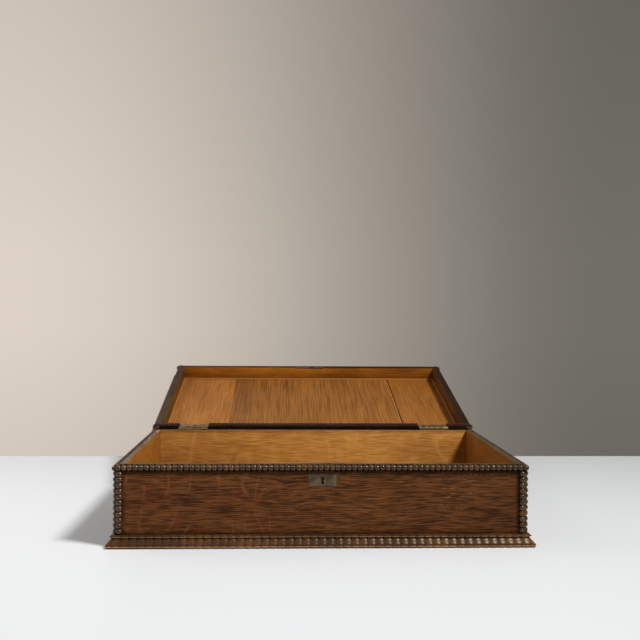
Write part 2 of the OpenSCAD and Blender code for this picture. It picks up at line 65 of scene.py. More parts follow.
SWING = math.radians(frame["joints"][0]["range_deg"][1])
PIN = Vector(frame["joints"][0]["pos_m"])
TO_SHUT = Matrix.Translation(PIN) @ Matrix.Rotation(SWING, 4, "X") @ Matrix.Translation(-PIN)
TO_OPEN = TO_SHUT.inverted()
UP = Vector((0, 0, 1))

CROWN = "crown"
HEIGHT = "height"
GRAIN_RELIEF = 0.12 * MM
TRIM_RELIEF = 0.012 * MM
METAL_RELIEF = 0.03 * MM
WAX = (1.0, 0.82, 0.6, 1.0)
WHITE = (1.0, 1.0, 1.0)
NODE_GAP = 180

# Blender numbers the colour sockets of a Mix node and the plain-number sockets of a Random Value node so
MIX_FIRST, MIX_SECOND, MIX_RESULT = 6, 7, 2
RANDOM_LOW, RANDOM_HIGH, RANDOM_RESULT = 2, 3, 1


def srgb(red: int, green: int, blue: int) -> RGB:
    """Turns a colour given as 0 to 255 screen values into the linear values that shaders take.

    Args:
        red: The red screen value.
        green: The green screen value.
        blue: The blue screen value.

    Returns:
        The three linear values.
    """
    def linear(value: int) -> float:
        """One channel, by the usual screen colour formula."""
        share = value / 255
        return share / 12.92 if share <= 0.04045 else ((share + 0.055) / 1.055) ** 2.4
    return (linear(red), linear(green), linear(blue))


# The colour of painted shade, with some soiling, laid where the boards meet the trim and along the lid's rim
SHADE_AND_GRIME = srgb(22, 13, 8)


class Side(Enum):
    """The four sides of the box, each with the turn that brings the back to it."""

    FRONT = 180
    RIGHT = 270
    BACK = 0
    LEFT = 90

    @property
    def long(self) -> bool:
        """True for the two sides that run along the width of the box."""
        return self in (Side.FRONT, Side.BACK)

    @property
    def run(self) -> str:
        """The word for the side's length in the names of the finishes."""
        return "long" if self.long else "short"

    @property
    def word(self) -> str:
        """The side's name as it stands in the names of the pieces."""
        return self.name.lower()

    @property
    def turn(self) -> Matrix:
        """The turn about Z that brings the back to this side."""
        return Matrix.Rotation(math.radians(self.value), 4, "Z")


class Grain(Enum):
    """The direction that a board's grain runs in, with the order in which it reads a point's coordinates."""

    ALONG_X = "XZY"
    ALONG_Y = "YZX"
    FLAT_Y = "YXZ"
    FLAT_X = "XYZ"


class Axis(Enum):
    """A direction of the shut box, with its place in a split point."""

    X = 0
    Y = 1
    Z = 2


@dataclass(frozen=True)
class Block:
    """The upright faces that trim stands on: those of the box, or those of the shut lid."""

    body: str
    half_width: float
    half_depth: float
    swing: Matrix

    def half(self, side: Side) -> float:
        """Half the length of one side's face."""
        return self.half_width if side.long else self.half_depth

    def side_frame(self, side: Side) -> Matrix:
        """The matrix from one side's frame, X along it, Y out from its face and Z up, to the open model."""
        reach = self.half_depth if side.long else self.half_width
        return self.swing @ side.turn @ Matrix.Translation((0, reach, 0))

    def finish(self, trim: str) -> str:
        """The name of the finish of its trim."""
        return f"stained_{trim}" if self.body == "box" else f"stained_lid_{trim}"


@dataclass(frozen=True)
class BoxSizes:
    """The sizes that the dressed pieces share, in metres, with the lid shut."""

    box: Block
    lid: Block
    rim_z: float
    bead_radius: float
    mould_h: float
    foot_reach: float
    lid_low: float
    lid_top: float
    lid_reach: float
    panel_z: float
    crack_x: float
    joint_x: float

    @classmethod
    def measured(cls) -> "BoxSizes":
        """Reads the sizes from the CAD nodes.

        Returns:
            The sizes.
        """
        front_low, front_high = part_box("front_board")
        beads_low, beads_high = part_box("rim_beads_front")
        foot_low, foot_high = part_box("base_ripple_front")
        rail_low, _ = cls.shut_box("lid_front_rail")
        side_low, _ = cls.shut_box("lid_left_rail")
        mould_low, mould_high = cls.shut_box("lid_ripple_front")
        board_low, board_high = cls.shut_box("lid_top_middle_board")
        return cls(
            box=Block("box", -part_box("left_board")[0].x, -front_low.y, Matrix()),
            lid=Block("lid", -side_low.x, -rail_low.y, TO_OPEN),
            rim_z=front_high.z,
            bead_radius=(beads_high.z - beads_low.z) / 2 - HAIR,
            mould_h=foot_high.z,
            foot_reach=front_low.y - foot_low.y - HAIR,
            lid_low=rail_low.z,
            lid_top=mould_high.z,
            lid_reach=rail_low.y - mould_low.y - HAIR,
            panel_z=board_low.z,
            crack_x=board_high.x,
            joint_x=board_low.x,
        )

    @staticmethod
    def shut_box(node: str) -> tuple[Vector, Vector]:
        """Finds the box round one of the lid's nodes with the lid shut.

        Args:
            node: The CAD node's name.

        Returns:
            Its lowest and its highest corner.
        """
        points = [TO_SHUT @ vertex.co for vertex in frame["nodes"][node].data.vertices]
        low = Vector([min(point[axis] for point in points) for axis in range(3)])
        high = Vector([max(point[axis] for point in points) for axis in range(3)])
        return low, high


@dataclass(frozen=True)
class Pattern:
    """A noise: how fine it is along each direction, how rough, and between which values it comes up."""

    scale: tuple[float, float, float]
    detail: float = 2.0
    roughness: float = 0.5
    twist: float = 0.0
    shows: Optional[tuple[float, float]] = None


HILLS = Pattern((13.0, 5.5, 4.0), roughness=0.4, twist=0.25)
FIGURED_PARTS = Pattern((15.0, 22.0, 12.0), 3.0, shows=(0.38, 0.6))
RED_PATCHES = Pattern((38.0, 24.0, 20.0), twist=0.6, shows=(0.56, 0.72))
SCRATCHES = Pattern((95.0, 520.0, 300.0), 1.0, shows=(0.64, 0.74))
WANDER = Pattern((5.0, 11.0, 11.0), 3.0)
TONE = Pattern((6.0, 16.0, 10.0), 3.0, 0.55, shows=(0.3, 0.7))
CLOUDS = Pattern((40.0, 40.0, 60.0))
FINE_WEAR = Pattern((420.0, 420.0, 420.0))
TARNISH = Pattern((95.0, 95.0, 95.0), 4.0, 0.62, shows=(0.36, 0.62))
SPECKS = Pattern((700.0, 700.0, 700.0))

# Where a ramp starts and ends, and, where there are four numbers, what it gives at either end
BREAKS = (0.25, 0.6, 0.35, 1.0)
WORN_PATCH = (0.42, 0.7)
WORN_FINE = (0.3, 0.65)
# The painted highlight lines on the arris edges: their width, how far they keep off the painted shade, and
# their patchiness
ARRIS_HIGHLIGHT_LINE = (0.8 * MM, 0.3 * MM)
ARRIS_ABOVE_SHADE = (0.0, 0.3, 0.45, 1.0)
ARRIS_PATCH = (0.3, 0.6, 0.45, 0.9)
SPOTS = (0.55, 0.7)

# How far the start of each board's grain moves with its seed, and how the grain stands up in the bump
SEED_STEPS = (1.0, 0.37, 0.61)
FIBRE_RIDGES, LINE_RIDGES = 0.4, 0.6


class NodeGraph:
    """Adds, sets and links the nodes of one tree."""

    def __init__(self, tree: bpy.types.NodeTree) -> None:
        """Starts with an empty tree."""
        self.tree = tree
        tree.nodes.clear()

    def node(self, kind: str, inputs: Optional[dict] = None, **settings: object) -> bpy.types.Node:
        """Adds a node.

        Args:
            kind: The node's type name.
            inputs: Sockets or plain values for its inputs, by name or number.
            **settings: Properties to set on it first.

        Returns:
            The new node.
        """
        made = self.tree.nodes.new(kind)
        made.location = (NODE_GAP * len(self.tree.nodes), 0)
        for name, value in settings.items():
            setattr(made, name, value)
        for key, value in (inputs or {}).items():
            self.feed(made.inputs[key], value)
        return made

    def feed(self, socket: Socket, value: object) -> None:
        """Links a socket to another, or sets it to a plain value.

        Args:
            socket: The input.
            value: A socket or plain value.
        """
        if isinstance(value, Socket):
            self.tree.links.new(value, socket)
        elif socket.type == "RGBA" and len(value) == 3:
            socket.default_value = (*value, 1.0)
        else:
            socket.default_value = value

    def math(self, operation: str, first: object, *others: object, clamp: bool = False) -> Socket:
        """Adds Math nodes that change one number or take several together in turn.

        Args:
            operation: The Math node's operation.
            first: A socket or number.
            *others: The sockets or numbers that are taken in one after the other.
            clamp: Whether each result is kept between 0 and 1.

        Returns:
            The result's socket.
        """
        result = first
        for other in others or (0.0,):
            made = self.node("ShaderNodeMath", {0: result, 1: other}, operation=operation, use_clamp=clamp)
            result = made.outputs[0]
        return result

    def apart(self, first: object, second: object) -> Socket:
        """How far two numbers lie apart."""
        return self.math("ABSOLUTE", self.math("SUBTRACT", first, second))

    def vector(self, x: object = 0.0, y: object = 0.0, z: object = 0.0) -> Socket:
        """Joins three numbers into a vector."""
        return self.node("ShaderNodeCombineXYZ", {0: x, 1: y, 2: z}).outputs[0]

    def split(self, point: object) -> tuple[Socket, ...]:
        """The three coordinates of a point."""
        return tuple(self.node("ShaderNodeSeparateXYZ", {0: point}).outputs)

    def blend(self, share: object, first: object, second: object) -> Socket:
        """Mixes two colours.

        Args:
            share: How much of the second colour shows, a socket or number.
            first: A socket or colour.
            second: A socket or colour.

        Returns:
            The mixed colour's socket.
        """
        inputs = {0: share, MIX_FIRST: first, MIX_SECOND: second}
        return self.node("ShaderNodeMix", inputs, data_type="RGBA").outputs[MIX_RESULT]

    def ramp(self, value: object, low: float, high: float, out_low: float = 0.0, out_high: float = 1.0,
             kind: str = "SMOOTHSTEP") -> Socket:
        """Maps a number from one range to another.

        Args:
            value: A socket or number.
            low: The value that gives out_low.
            high: The value that gives out_high.
            out_low: The result at low.
            out_high: The result at high.
            kind: The Map Range node's interpolation.

        Returns:
            The mapped number's socket.
        """
        inputs = dict(enumerate((value, low, high, out_low, out_high)))
        return self.node("ShaderNodeMapRange", inputs, interpolation_type=kind).outputs[0]


class ShaderGraph(NodeGraph):
    """The nodes of one material."""

    def __init__(self, name: str) -> None:
        """Starts an empty material.

        Args:
            name: The material's name.
        """
        self.material = bpy.data.materials.new(name)
        self.material.use_nodes = True
        super().__init__(self.material.node_tree)

    def mapped(self, point: object, scale: Sequence[float] = (1, 1, 1), shift: Sequence[float] = (0, 0, 0),
               turn: Sequence[float] = (0, 0, 0)) -> Socket:
        """Scales, turns and then shifts a point.

        Args:
            point: The point's socket.
            scale: The factor along each direction.
            shift: How far it moves along each direction.
            turn: The angle about each direction.

        Returns:
            The new point's socket.
        """
        inputs = {"Vector": point, "Location": tuple(shift), "Rotation": tuple(turn), "Scale": tuple(scale)}
        return self.node("ShaderNodeMapping", inputs).outputs[0]

    def noise(self, point: object, pattern: Pattern) -> Socket:
        """Draws a pattern.

        Args:
            point: The point's socket.
            pattern: The pattern.

        Returns:
            The socket of its value, from 0 to 1.
        """
        made = self.node("ShaderNodeTexNoise", {
            "Vector": self.mapped(point, pattern.scale), "Scale": 1.0, "Detail": pattern.detail,
            "Roughness": pattern.roughness, "Distortion": pattern.twist,
        })
        return self.ramp(made.outputs[0], *pattern.shows) if pattern.shows else made.outputs[0]

    def attribute(self, name: str) -> Socket:
        """The number that a geometry tree has kept for each point under a name."""
        return self.node("ShaderNodeAttribute", attribute_name=name).outputs["Fac"]

    def object_point(self, swung: bool) -> Socket:
        """Gives the shaded point in the shut box's frame.

        Args:
            swung: Whether the piece belongs to the lid, which is drawn open.

        Returns:
            The point's socket.
        """
        point = self.node("ShaderNodeTexCoord").outputs["Object"]
        return self.mapped(point, shift=TO_SHUT.translation, turn=(SWING, 0, 0)) if swung else point

    def surface(self, colour: object, roughness: object, height: Optional[Socket] = None, relief: float = 0.0,
                **sockets: object) -> bpy.types.Material:
        """Ends the graph in one Principled shader.

        Args:
            colour: A socket or colour.
            roughness: A socket or number.
            height: A socket for the bump, if any.
            relief: The bump's depth in metres.
            **sockets: Plain values for the shader's other sockets, with _ for a space.

        Returns:
            The finished material.
        """
        shader = self.node("ShaderNodeBsdfPrincipled", {"Base Color": colour, "Roughness": roughness})
        for name, value in sockets.items():
            shader.inputs[name.replace("_", " ")].default_value = value
        if height is not None:
            bump = self.node("ShaderNodeBump", {"Strength": 1.0, "Distance": relief, "Height": height})
            self.feed(shader.inputs["Normal"], bump.outputs[0])
        self.node("ShaderNodeOutputMaterial", {0: shader.outputs[0]})
        return self.material


@dataclass(frozen=True)
class Band:
    """A strip of a board, straight across one direction, that is lighter or darker than the rest."""

    axis: Axis
    low: float
    high: float
    tint: RGB
    strength: float = 0.7
    soft: float = 4 * MM
    cloudy: bool = True

    def lay(self, graph: ShaderGraph, place: Sequence[Socket], cloud: Socket, colour: Socket) -> Socket:
        """Tints the board's colour inside the band.

        Args:
            graph: The board's shader graph.
            place: The point's three coordinates.
            cloud: A slow noise that breaks the band up.
            colour: The board's colour so far.

        Returns:
            The tinted colour.
        """
        along = place[self.axis.value]
        after = graph.ramp(along, self.low - self.soft, self.low + self.soft)
        before = graph.ramp(along, self.high + self.soft, self.high - self.soft)
        share = graph.math("MULTIPLY", after, before, self.strength)
        if self.cloudy:
            share = graph.math("MULTIPLY", share, graph.ramp(cloud, *BREAKS))
        return graph.blend(share, colour, self.tint)


@dataclass(frozen=True)
class Rays:
    """The figure of quarter-sawn oak: thin pale lines that curve across the grain, and reddish patches."""

    pale: RGB
    red: RGB
    strength: float = 0.5
    redness: float = 0.5
    end_x: float = 0.0
    fade: float = 250 * MM
    levels: float = 8.0
    width: float = 0.05

    def lay(self, graph: ShaderGraph, x: Socket, wood: Socket, colour: Socket) -> Socket:
        """Draws the figure over a board's colour, along the levels of a hilly noise.

        Args:
            graph: The board's shader graph.
            x: The point's place along the width of the box, where the figure dies out.
            wood: The point with X along the grain.
            colour: The board's colour so far.

        Returns:
            The colour with the figure.
        """
        near = graph.ramp(x, self.end_x + self.fade, self.end_x)
        level = graph.math("FRACT", graph.math("MULTIPLY", graph.noise(wood, HILLS), self.levels))
        line = graph.ramp(graph.apart(level, 0.5), self.width, 0.0)
        line = graph.math("MULTIPLY", line, graph.noise(wood, FIGURED_PARTS), near, self.strength)
        patch = graph.math("MULTIPLY", graph.noise(wood, RED_PATCHES), near, self.redness)
        return graph.blend(line, graph.blend(patch, colour, self.red), self.pale)


@dataclass(frozen=True)
class Scuffs:
    """Short pale scratches along the grain round one place, at full strength in a share of their spread."""

    pale: RGB
    centre: tuple[float, float, float]
    spread: float = 70 * MM
    strength: float = 0.5
    thickest: float = 0.25

    def lay(self, graph: ShaderGraph, point: Socket, wood: Socket, colour: Socket) -> Socket:
        """Draws the scratches over a board's colour.

        Args:
            graph: The board's shader graph.
            point: The shaded point.
            wood: The point with X along the grain.
            colour: The board's colour so far.

        Returns:
            The scratched colour.
        """
        away = graph.node("ShaderNodeVectorMath", {0: point, 1: self.centre}, operation="DISTANCE")
        near = graph.ramp(away.outputs["Value"], self.spread, self.spread * self.thickest)
        share = graph.math("MULTIPLY", near, graph.noise(wood, SCRATCHES), self.strength)
        return graph.blend(share, colour, self.pale)


@dataclass(frozen=True)
class OakFinish:
    """Oak: its colours, how its grain runs, how strong each part of its figure is, and how it is polished.

    The gap, the run and the wander of the grain's lines are in millimetres.
    """

    name: str
    pale: RGB
    deep: RGB
    grain: Grain
    swung: bool = False
    lines: float = 0.6
    line_gap: float = 2.0
    line_run: float = 60.0
    wander: float = 24.0
    tone: float = 0.5
    fibre: float = 0.35
    pores: float = 0.5
    roughness: float = 0.5
    unevenness: float = 0.06
    gloss: float = 0.25
    seed: float = 0.0
    rays: Optional[Rays] = None
    scuffs: Optional[Scuffs] = None
    bands: tuple[Band, ...] = ()

    def material(self) -> bpy.types.Material:
        """Builds the material.

        Returns:
            The finished material.
        """
        graph = ShaderGraph(self.name)
        point = graph.object_point(self.swung)
        place = graph.split(point)
        turned = graph.vector(*(place[Axis[letter].value] for letter in self.grain.value))
        wood = graph.mapped(turned, shift=[self.seed * step for step in SEED_STEPS])

        # The lines of the grain wander, so a slow noise moves them across before they are drawn
        drift = graph.math("SUBTRACT", graph.noise(wood, WANDER), 0.5)
        drift = graph.vector(0.0, graph.math("MULTIPLY", drift, self.wander * MM))
        bent = graph.node("ShaderNodeVectorMath", {0: wood, 1: drift}, operation="ADD").outputs[0]
        along, across = 1.0 / (self.line_run * MM), 1.0 / (self.line_gap * MM)
        lines = Pattern((along, across, across * 0.5), detail=1.5, roughness=0.6, shows=(0.4, 0.58))
        lines = graph.noise(bent, lines)
        fibre = graph.noise(bent, Pattern((45.0, across * 4.5, across * 3.0), roughness=0.7))
        pores = Pattern((70.0, across * 2.4, across * 2.4), detail=1.0, shows=(0.58, 0.7))
        pores = graph.noise(bent, pores)
        tone = graph.noise(bent, TONE)

        parts = ((lines, self.lines), (tone, self.tone), (fibre, self.fibre))
        shade = graph.math("ADD", *(graph.math("MULTIPLY", part, share) for part, share in parts))
        shade = graph.math("DIVIDE", shade, self.lines + self.tone + self.fibre, clamp=True)
        colour = graph.blend(shade, self.deep, self.pale)
        if self.rays:
            colour = self.rays.lay(graph, place[0], wood, colour)
        colour = graph.blend(graph.math("MULTIPLY", pores, self.pores), colour, self.deep)
        if self.scuffs:
            colour = self.scuffs.lay(graph, point, wood, colour)
        if self.bands:
            cloud = graph.noise(point, CLOUDS)
            for band in self.bands:
                colour = band.lay(graph, place, cloud, colour)
        ridges = graph.math("SUBTRACT", graph.math("MULTIPLY", fibre, FIBRE_RIDGES), pores)
        ridges = graph.math("ADD", ridges, graph.math("MULTIPLY", lines, LINE_RIDGES))
        rough = graph.ramp(tone, 0.0, 1.0, self.roughness + self.unevenness, self.roughness - self.unevenness)
        return graph.surface(
            colour, rough, ridges, GRAIN_RELIEF, Specular_IOR_Level=self.gloss, Specular_Tint=WAX
        )


@dataclass(frozen=True)
class TrimFinish:
    """Near-black stained oak of the turned and planed trim, with brown showing where it is worn."""

    name: str
    dark: RGB
    worn: RGB
    swung: bool = False
    wear: float = 0.5
    patch_scale: float = 26.0
    roughness: float = 0.3
    gloss: float = 0.5
    seed: float = 0.0
    # The next five fields paint shade, with some soiling, where the crown is low: in the gaps between beads
    # and in the ripples' valleys, groove and foot
    crevice: float = 0.7
    open_at: float = 0.96
    dirt: float = 0.95
    grime: RGB = srgb(10, 6, 4)
    grime_roughness: float = 0.8
    # Heights of painted highlight lines on the arris edges, which stand also for rubbed wear, and the lines'
    # colour
    arrises: tuple[float, ...] = ()
    rubbed: RGB = srgb(196, 154, 112)

    def material(self) -> bpy.types.Material:
        """Builds the material: stain, wear in patches, painted shade off the crowns, and painted highlight
        lines on the arris edges.

        Returns:
            The finished material.
        """
        graph = ShaderGraph(self.name)
        point = graph.mapped(graph.object_point(self.swung), shift=(self.seed,) * 3)
        patch = graph.noise(point, Pattern((self.patch_scale,) * 3, detail=3.0, roughness=0.6))
        fine = graph.noise(point, FINE_WEAR)
        worn = graph.math(
            "MULTIPLY", graph.ramp(patch, *WORN_PATCH), graph.ramp(fine, *WORN_FINE), self.wear
        )
        crown = graph.attribute(CROWN)
        # Painted shade, with some soiling, darkens the colour and roughens the finish where the crown is low
        light = graph.ramp(crown, self.crevice, self.open_at, 1.0 - self.dirt, 1.0)
        colour = graph.blend(light, self.grime, graph.blend(worn, self.dark, self.worn))
        # Painted highlight lines, standing also for rubbed edges, lighten a thin band at each arris height
        for arris in self.arrises:
            line = graph.ramp(graph.apart(graph.attribute(HEIGHT), arris), *ARRIS_HIGHLIGHT_LINE)
            held = graph.ramp(crown, *ARRIS_ABOVE_SHADE)
            line = graph.math("MULTIPLY", line, held, graph.ramp(patch, *ARRIS_PATCH))
            colour = graph.blend(line, colour, self.rubbed)
        rough = graph.ramp(light, 0.0, 1.0, self.grime_roughness, self.roughness)
        return graph.surface(
            colour, rough, fine, TRIM_RELIEF, Specular_IOR_Level=self.gloss, Specular_Tint=WAX
        )


@dataclass(frozen=True)
class MetalFinish:
    """Old metal: bare where it is rubbed and dull where it is tarnished."""

    name: str
    bright: RGB
    dull: RGB
    swung: bool = False
    metal: float = 0.85
    rubbed: float = 0.34
    tarnished: float = 0.6
    dullness: float = 0.6
    speckle: float = 0.3

    def material(self) -> bpy.types.Material:
        """Builds the material.

        Returns:
            The finished material.
        """
        graph = ShaderGraph(self.name)
        point = graph.object_point(self.swung)
        specks = graph.noise(point, SPECKS)
        cover = graph.math("MULTIPLY", graph.noise(point, TARNISH), self.dullness)
        spots = graph.math("MULTIPLY", graph.ramp(specks, *SPOTS), self.speckle)
        cover = graph.math("ADD", cover, spots, clamp=True)
        colour = graph.blend(cover, self.bright, self.dull)
        rough = graph.ramp(cover, 0.0, 1.0, self.rubbed, self.tarnished)
        return graph.surface(colour, rough, specks, METAL_RELIEF, Metallic=self.metal)


Finish = Union[OakFinish, TrimFinish, MetalFinish]

BEAD_SEGMENTS, BEAD_RINGS, NECK_SEGMENTS = 12, 7, 10
ROLL_SEED_STEP = 7
# How far the painted shade reaches from the ripple moulding's groove and up from its foot
GROOVE_SHADE_REACH = 2.4 * MM
FOOT_SHADE_REACH = 4.0 * MM
WAVES_PER_METRE = 60.0
RIM_FACING = 0.7
SIDE_FACING = 0.5


class ModelGraph(NodeGraph):
    """The nodes of one geometry tree with named inputs."""

    def __init__(self, name: str) -> None:
        """Starts a tree that takes and gives a geometry.

        Args:
            name: The tree's name.
        """
        super().__init__(bpy.data.node_groups.new(name, "GeometryNodeTree"))
        for way in ("INPUT", "OUTPUT"):
            self.tree.interface.new_socket("Geometry", in_out=way, socket_type="NodeSocketGeometry")
        self.start = self.node("NodeGroupInput")
        self.end = self.node("NodeGroupOutput")

    def value(self, name: str, kind: str, default: object = None) -> Socket:
        """Adds a named input to the tree.

        Args:
            name: The input's name.
            kind: Float, Int, Vector or Material.
            default: The value it starts with, if any.

        Returns:
            The socket that gives the input's value.
        """
        item = self.tree.interface.new_socket(name, in_out="INPUT", socket_type=f"NodeSocket{kind}")
        if default is not None:
            item.default_value = default
        return self.start.outputs[name]

    def row(self, count: Socket, first: Socket, pitch: Socket) -> Socket:
        """Lays points in a row along X.

        Args:
            count: How many points.
            first: The first one's place.
            pitch: Distance from point to point.

        Returns:
            The points' socket.
        """
        line = {"Count": count, "Start Location": self.vector(first), "Offset": self.vector(pitch)}
        return self.node("GeometryNodeMeshLine", line, mode="OFFSET").outputs[0]

    def random(self, low: object, high: object, seed: object) -> Socket:
        """Gives each instance its own number.

        Args:
            low: The lowest number.
            high: The highest number.
            seed: The seed, a socket.

        Returns:
            The numbers' socket.
        """
        inputs = {RANDOM_LOW: low, RANDOM_HIGH: high, "Seed": seed}
        return self.node("FunctionNodeRandomValue", inputs, data_type="FLOAT").outputs[RANDOM_RESULT]

    def real(self, geometry: Socket) -> Socket:
        """Turns instances into real meshes."""
        return self.node("GeometryNodeRealizeInstances", {0: geometry}).outputs[0]

    def store(self, geometry: Socket, name: str, value: Socket) -> Socket:
        """Keeps a number for each point under a name that materials read.

        Args:
            geometry: The geometry's socket.
            name: The attribute's name.
            value: The number's socket.

        Returns:
            The geometry that carries it.
        """
        inputs = {"Geometry": geometry, "Name": name, "Value": value}
        made = self.node("GeometryNodeStoreNamedAttribute", inputs, data_type="FLOAT", domain="POINT")
        return made.outputs[0]

    def place(self) -> tuple[Socket, ...]:
        """The three coordinates of each point."""
        return self.split(self.node("GeometryNodeInputPosition").outputs[0])

    def finish(self, geometry: Socket, material: Socket) -> bpy.types.NodeTree:
        """Ends the tree in Realize Instances and Set Material.

        Args:
            geometry: The geometry's socket.
            material: The material's socket.

        Returns:
            The finished tree.
        """
        paint = self.node("GeometryNodeSetMaterial", {"Geometry": self.real(geometry), "Material": material})
        self.feed(self.end.inputs[0], paint.outputs[0])
        return self.tree


def run_tree(name: str, tree: bpy.types.NodeTree, base: Optional[bpy.types.Mesh],
             inputs: dict[str, object]) -> bpy.types.Object:
    """Runs a geometry tree once and keeps its result as a plain mesh.

    Args:
        name: The name of the finished object.
        tree: The geometry tree.
        base: The mesh that the tree takes, or None.
        inputs: Values of the tree's inputs by name.

    Returns:
        The finished object, without a modifier.
    """
    holder = bpy.data.objects.new(name + "_source", base or bpy.data.meshes.new(name + "_source"))
    bpy.context.scene.collection.objects.link(holder)
    modifier = holder.modifiers.new("made", "NODES")
    modifier.node_group = tree
    for item in tree.interface.items_tree:
        if item.item_type == "SOCKET" and item.in_out == "INPUT" and item.name in inputs:
            modifier[item.identifier] = inputs[item.name]
    graph = bpy.context.evaluated_depsgraph_get()
    graph.update()
    seen = holder.evaluated_get(graph)
    mesh = bpy.data.meshes.new_from_object(seen, preserve_all_data_layers=True, depsgraph=graph)
    mesh.name = name
    holder.modifiers.remove(modifier)
    bpy.data.objects.remove(holder)
    return stand(name, mesh)


def stand(name: str, mesh: bpy.types.Mesh) -> bpy.types.Object:
    """Puts a mesh in the scene.

    Args:
        name: The object's name.
        mesh: The mesh.

    Returns:
        The object, at the origin.
    """
    made = bpy.data.objects.new(name, mesh)
    bpy.context.scene.collection.objects.link(made)
    return made


def bead_tree() -> bpy.types.NodeTree:
    """A row of turned beads along X on a thin neck, each a little different in size and roll.

    Returns:
        The geometry tree.
    """
    graph = ModelGraph("bead_strip")
    count = graph.value("Count", "Int", 10)
    pitch = graph.value("Pitch", "Float", 8 * MM)
    radius = graph.value("Radius", "Float", 4.8 * MM)
    neck = graph.value("Neck", "Float", 2.7 * MM)
    uneven = graph.value("Unevenness", "Float", 0.03)
    seed = graph.value("Seed", "Int", 1)
    material = graph.value("Material", "Material")

    points = graph.row(count, graph.math("MULTIPLY", pitch, 0.5), pitch)
    bead = graph.node("GeometryNodeMeshUVSphere", {
        "Segments": BEAD_SEGMENTS, "Rings": BEAD_RINGS, "Radius": radius,
    })
    size = graph.random(graph.math("SUBTRACT", 1.0, uneven), 1.0, seed)
    roll = graph.random(0.0, math.tau, graph.math("ADD", seed, ROLL_SEED_STEP))
    beads = graph.node("GeometryNodeInstanceOnPoints", {
        "Points": points, "Instance": bead.outputs[0], "Rotation": graph.vector(roll, math.pi / 2),
        "Scale": graph.vector(size, size, size),
    })
    length = graph.math("MULTIPLY", count, pitch)
    core = graph.node("GeometryNodeMeshCylinder", {
        "Vertices": NECK_SEGMENTS, "Radius": neck, "Depth": length,
    })
    middle = graph.vector(graph.math("MULTIPLY", length, 0.5))
    bar = graph.node("GeometryNodeTransform", {
        "Geometry": core.outputs[0], "Translation": middle, "Rotation": (0, math.pi / 2, 0),
    })
    both = graph.node("GeometryNodeJoinGeometry")
    for part in (beads, bar):
        graph.feed(both.inputs[0], part.outputs[0])
    strip = graph.real(both.outputs[0])
    # The crown, each point's distance from the strip's axis over the radius, tells the finish where to paint
    # shade into the necks between beads
    _, y, z = graph.place()
    squares = graph.math("ADD", graph.math("MULTIPLY", y, y), graph.math("MULTIPLY", z, z))
    crown = graph.math("DIVIDE", graph.math("SQRT", squares), radius)
    return graph.finish(graph.store(strip, CROWN, crown), material)


def ripple_tree() -> bpy.types.NodeTree:
    """A row of the mesh that it is given, side by side along X and joined, planed a little unevenly.

    Returns:
        The geometry tree.
    """
    graph = ModelGraph("ripple_row")
    count = graph.value("Count", "Int", 10)
    pitch = graph.value("Pitch", "Float", 11.7 * MM)
    groove = graph.value("Groove Height", "Float", 14.4 * MM)
    uneven = graph.value("Unevenness", "Float", 0.03)
    seed = graph.value("Seed", "Int", 1)
    material = graph.value("Material", "Material")

    first = graph.math("MULTIPLY", graph.math("SUBTRACT", count, 1), pitch, -0.5)
    ripples = graph.node("GeometryNodeInstanceOnPoints", {
        "Points": graph.row(count, first, pitch), "Instance": graph.start.outputs["Geometry"],
    })
    weld = graph.node("GeometryNodeMergeByDistance", {
        "Geometry": graph.real(ripples.outputs[0]), "Distance": HAIR,
    })

    # The crown is 0 in the valleys, in the groove and at the foot, where the finish paints shade with some
    # soiling
    x, y, z = graph.place()
    turn = graph.math("DIVIDE", graph.math("SUBTRACT", x, first), pitch)
    turn = graph.math("FRACT", graph.math("ADD", turn, 0.5))
    valley = graph.math("MULTIPLY", graph.apart(turn, 0.5), 2.0)
    clear = graph.math("DIVIDE", graph.apart(z, groove), GROOVE_SHADE_REACH)
    foot = graph.math("DIVIDE", z, FOOT_SHADE_REACH)
    crown = graph.math("MINIMUM", graph.math("SUBTRACT", 1.0, valley), clear, foot)
    kept = graph.store(graph.store(weld.outputs[0], CROWN, crown), HEIGHT, z)
    wave = graph.math("ADD", graph.math("MULTIPLY", x, WAVES_PER_METRE), seed)
    noise = graph.node("ShaderNodeTexNoise", {"W": wave}, noise_dimensions="1D")
    sunk = graph.math("MULTIPLY", y, noise.outputs[0], uneven, -1.0)
    plane = graph.node("GeometryNodeSetPosition", {"Geometry": kept, "Offset": graph.vector(0.0, sunk)})
    return graph.finish(plane.outputs[0], material)


def trim_mesh(mesh: bpy.types.Mesh, cuts: Iterable[Plane]) -> None:
    """Cuts a mesh at planes, drops what lies past them and closes the cuts.

    Args:
        mesh: The mesh to change.
        cuts: For each plane a point on it and the direction of what goes.
    """
    work = bmesh.new()
    work.from_mesh(mesh)
    for point, away in cuts:
        everything = work.verts[:] + work.edges[:] + work.faces[:]
        result = bmesh.ops.bisect_plane(
            work, geom=everything, plane_co=point, plane_no=away, clear_outer=True, dist=ON_PLANE
        )
        rim = [part for part in result["geom_cut"] if isinstance(part, bmesh.types.BMEdge)]
        if rim:
            bmesh.ops.holes_fill(work, edges=rim, sides=0)
    bmesh.ops.recalc_face_normals(work, faces=work.faces[:])
    work.to_mesh(mesh)
    work.free()


def shade_by_angle(mesh: bpy.types.Mesh, degrees: float) -> None:
    """Shades a mesh smooth, but leaves edges sharp where they turn by more than an angle."""
    mesh.shade_smooth()
    mesh.set_sharp_from_angle(angle=math.radians(degrees))


def settle(piece: bpy.types.Object, body: str, node: str) -> None:
    """Makes a finished piece ride on its body and hides the node that it stands for.

    Args:
        piece: The finished piece.
        body: The body that it rides on.
        node: The CAD node.
    """
    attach(piece, body)
    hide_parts(node)
    LOG.info("%s rides on %s", piece.name, body)


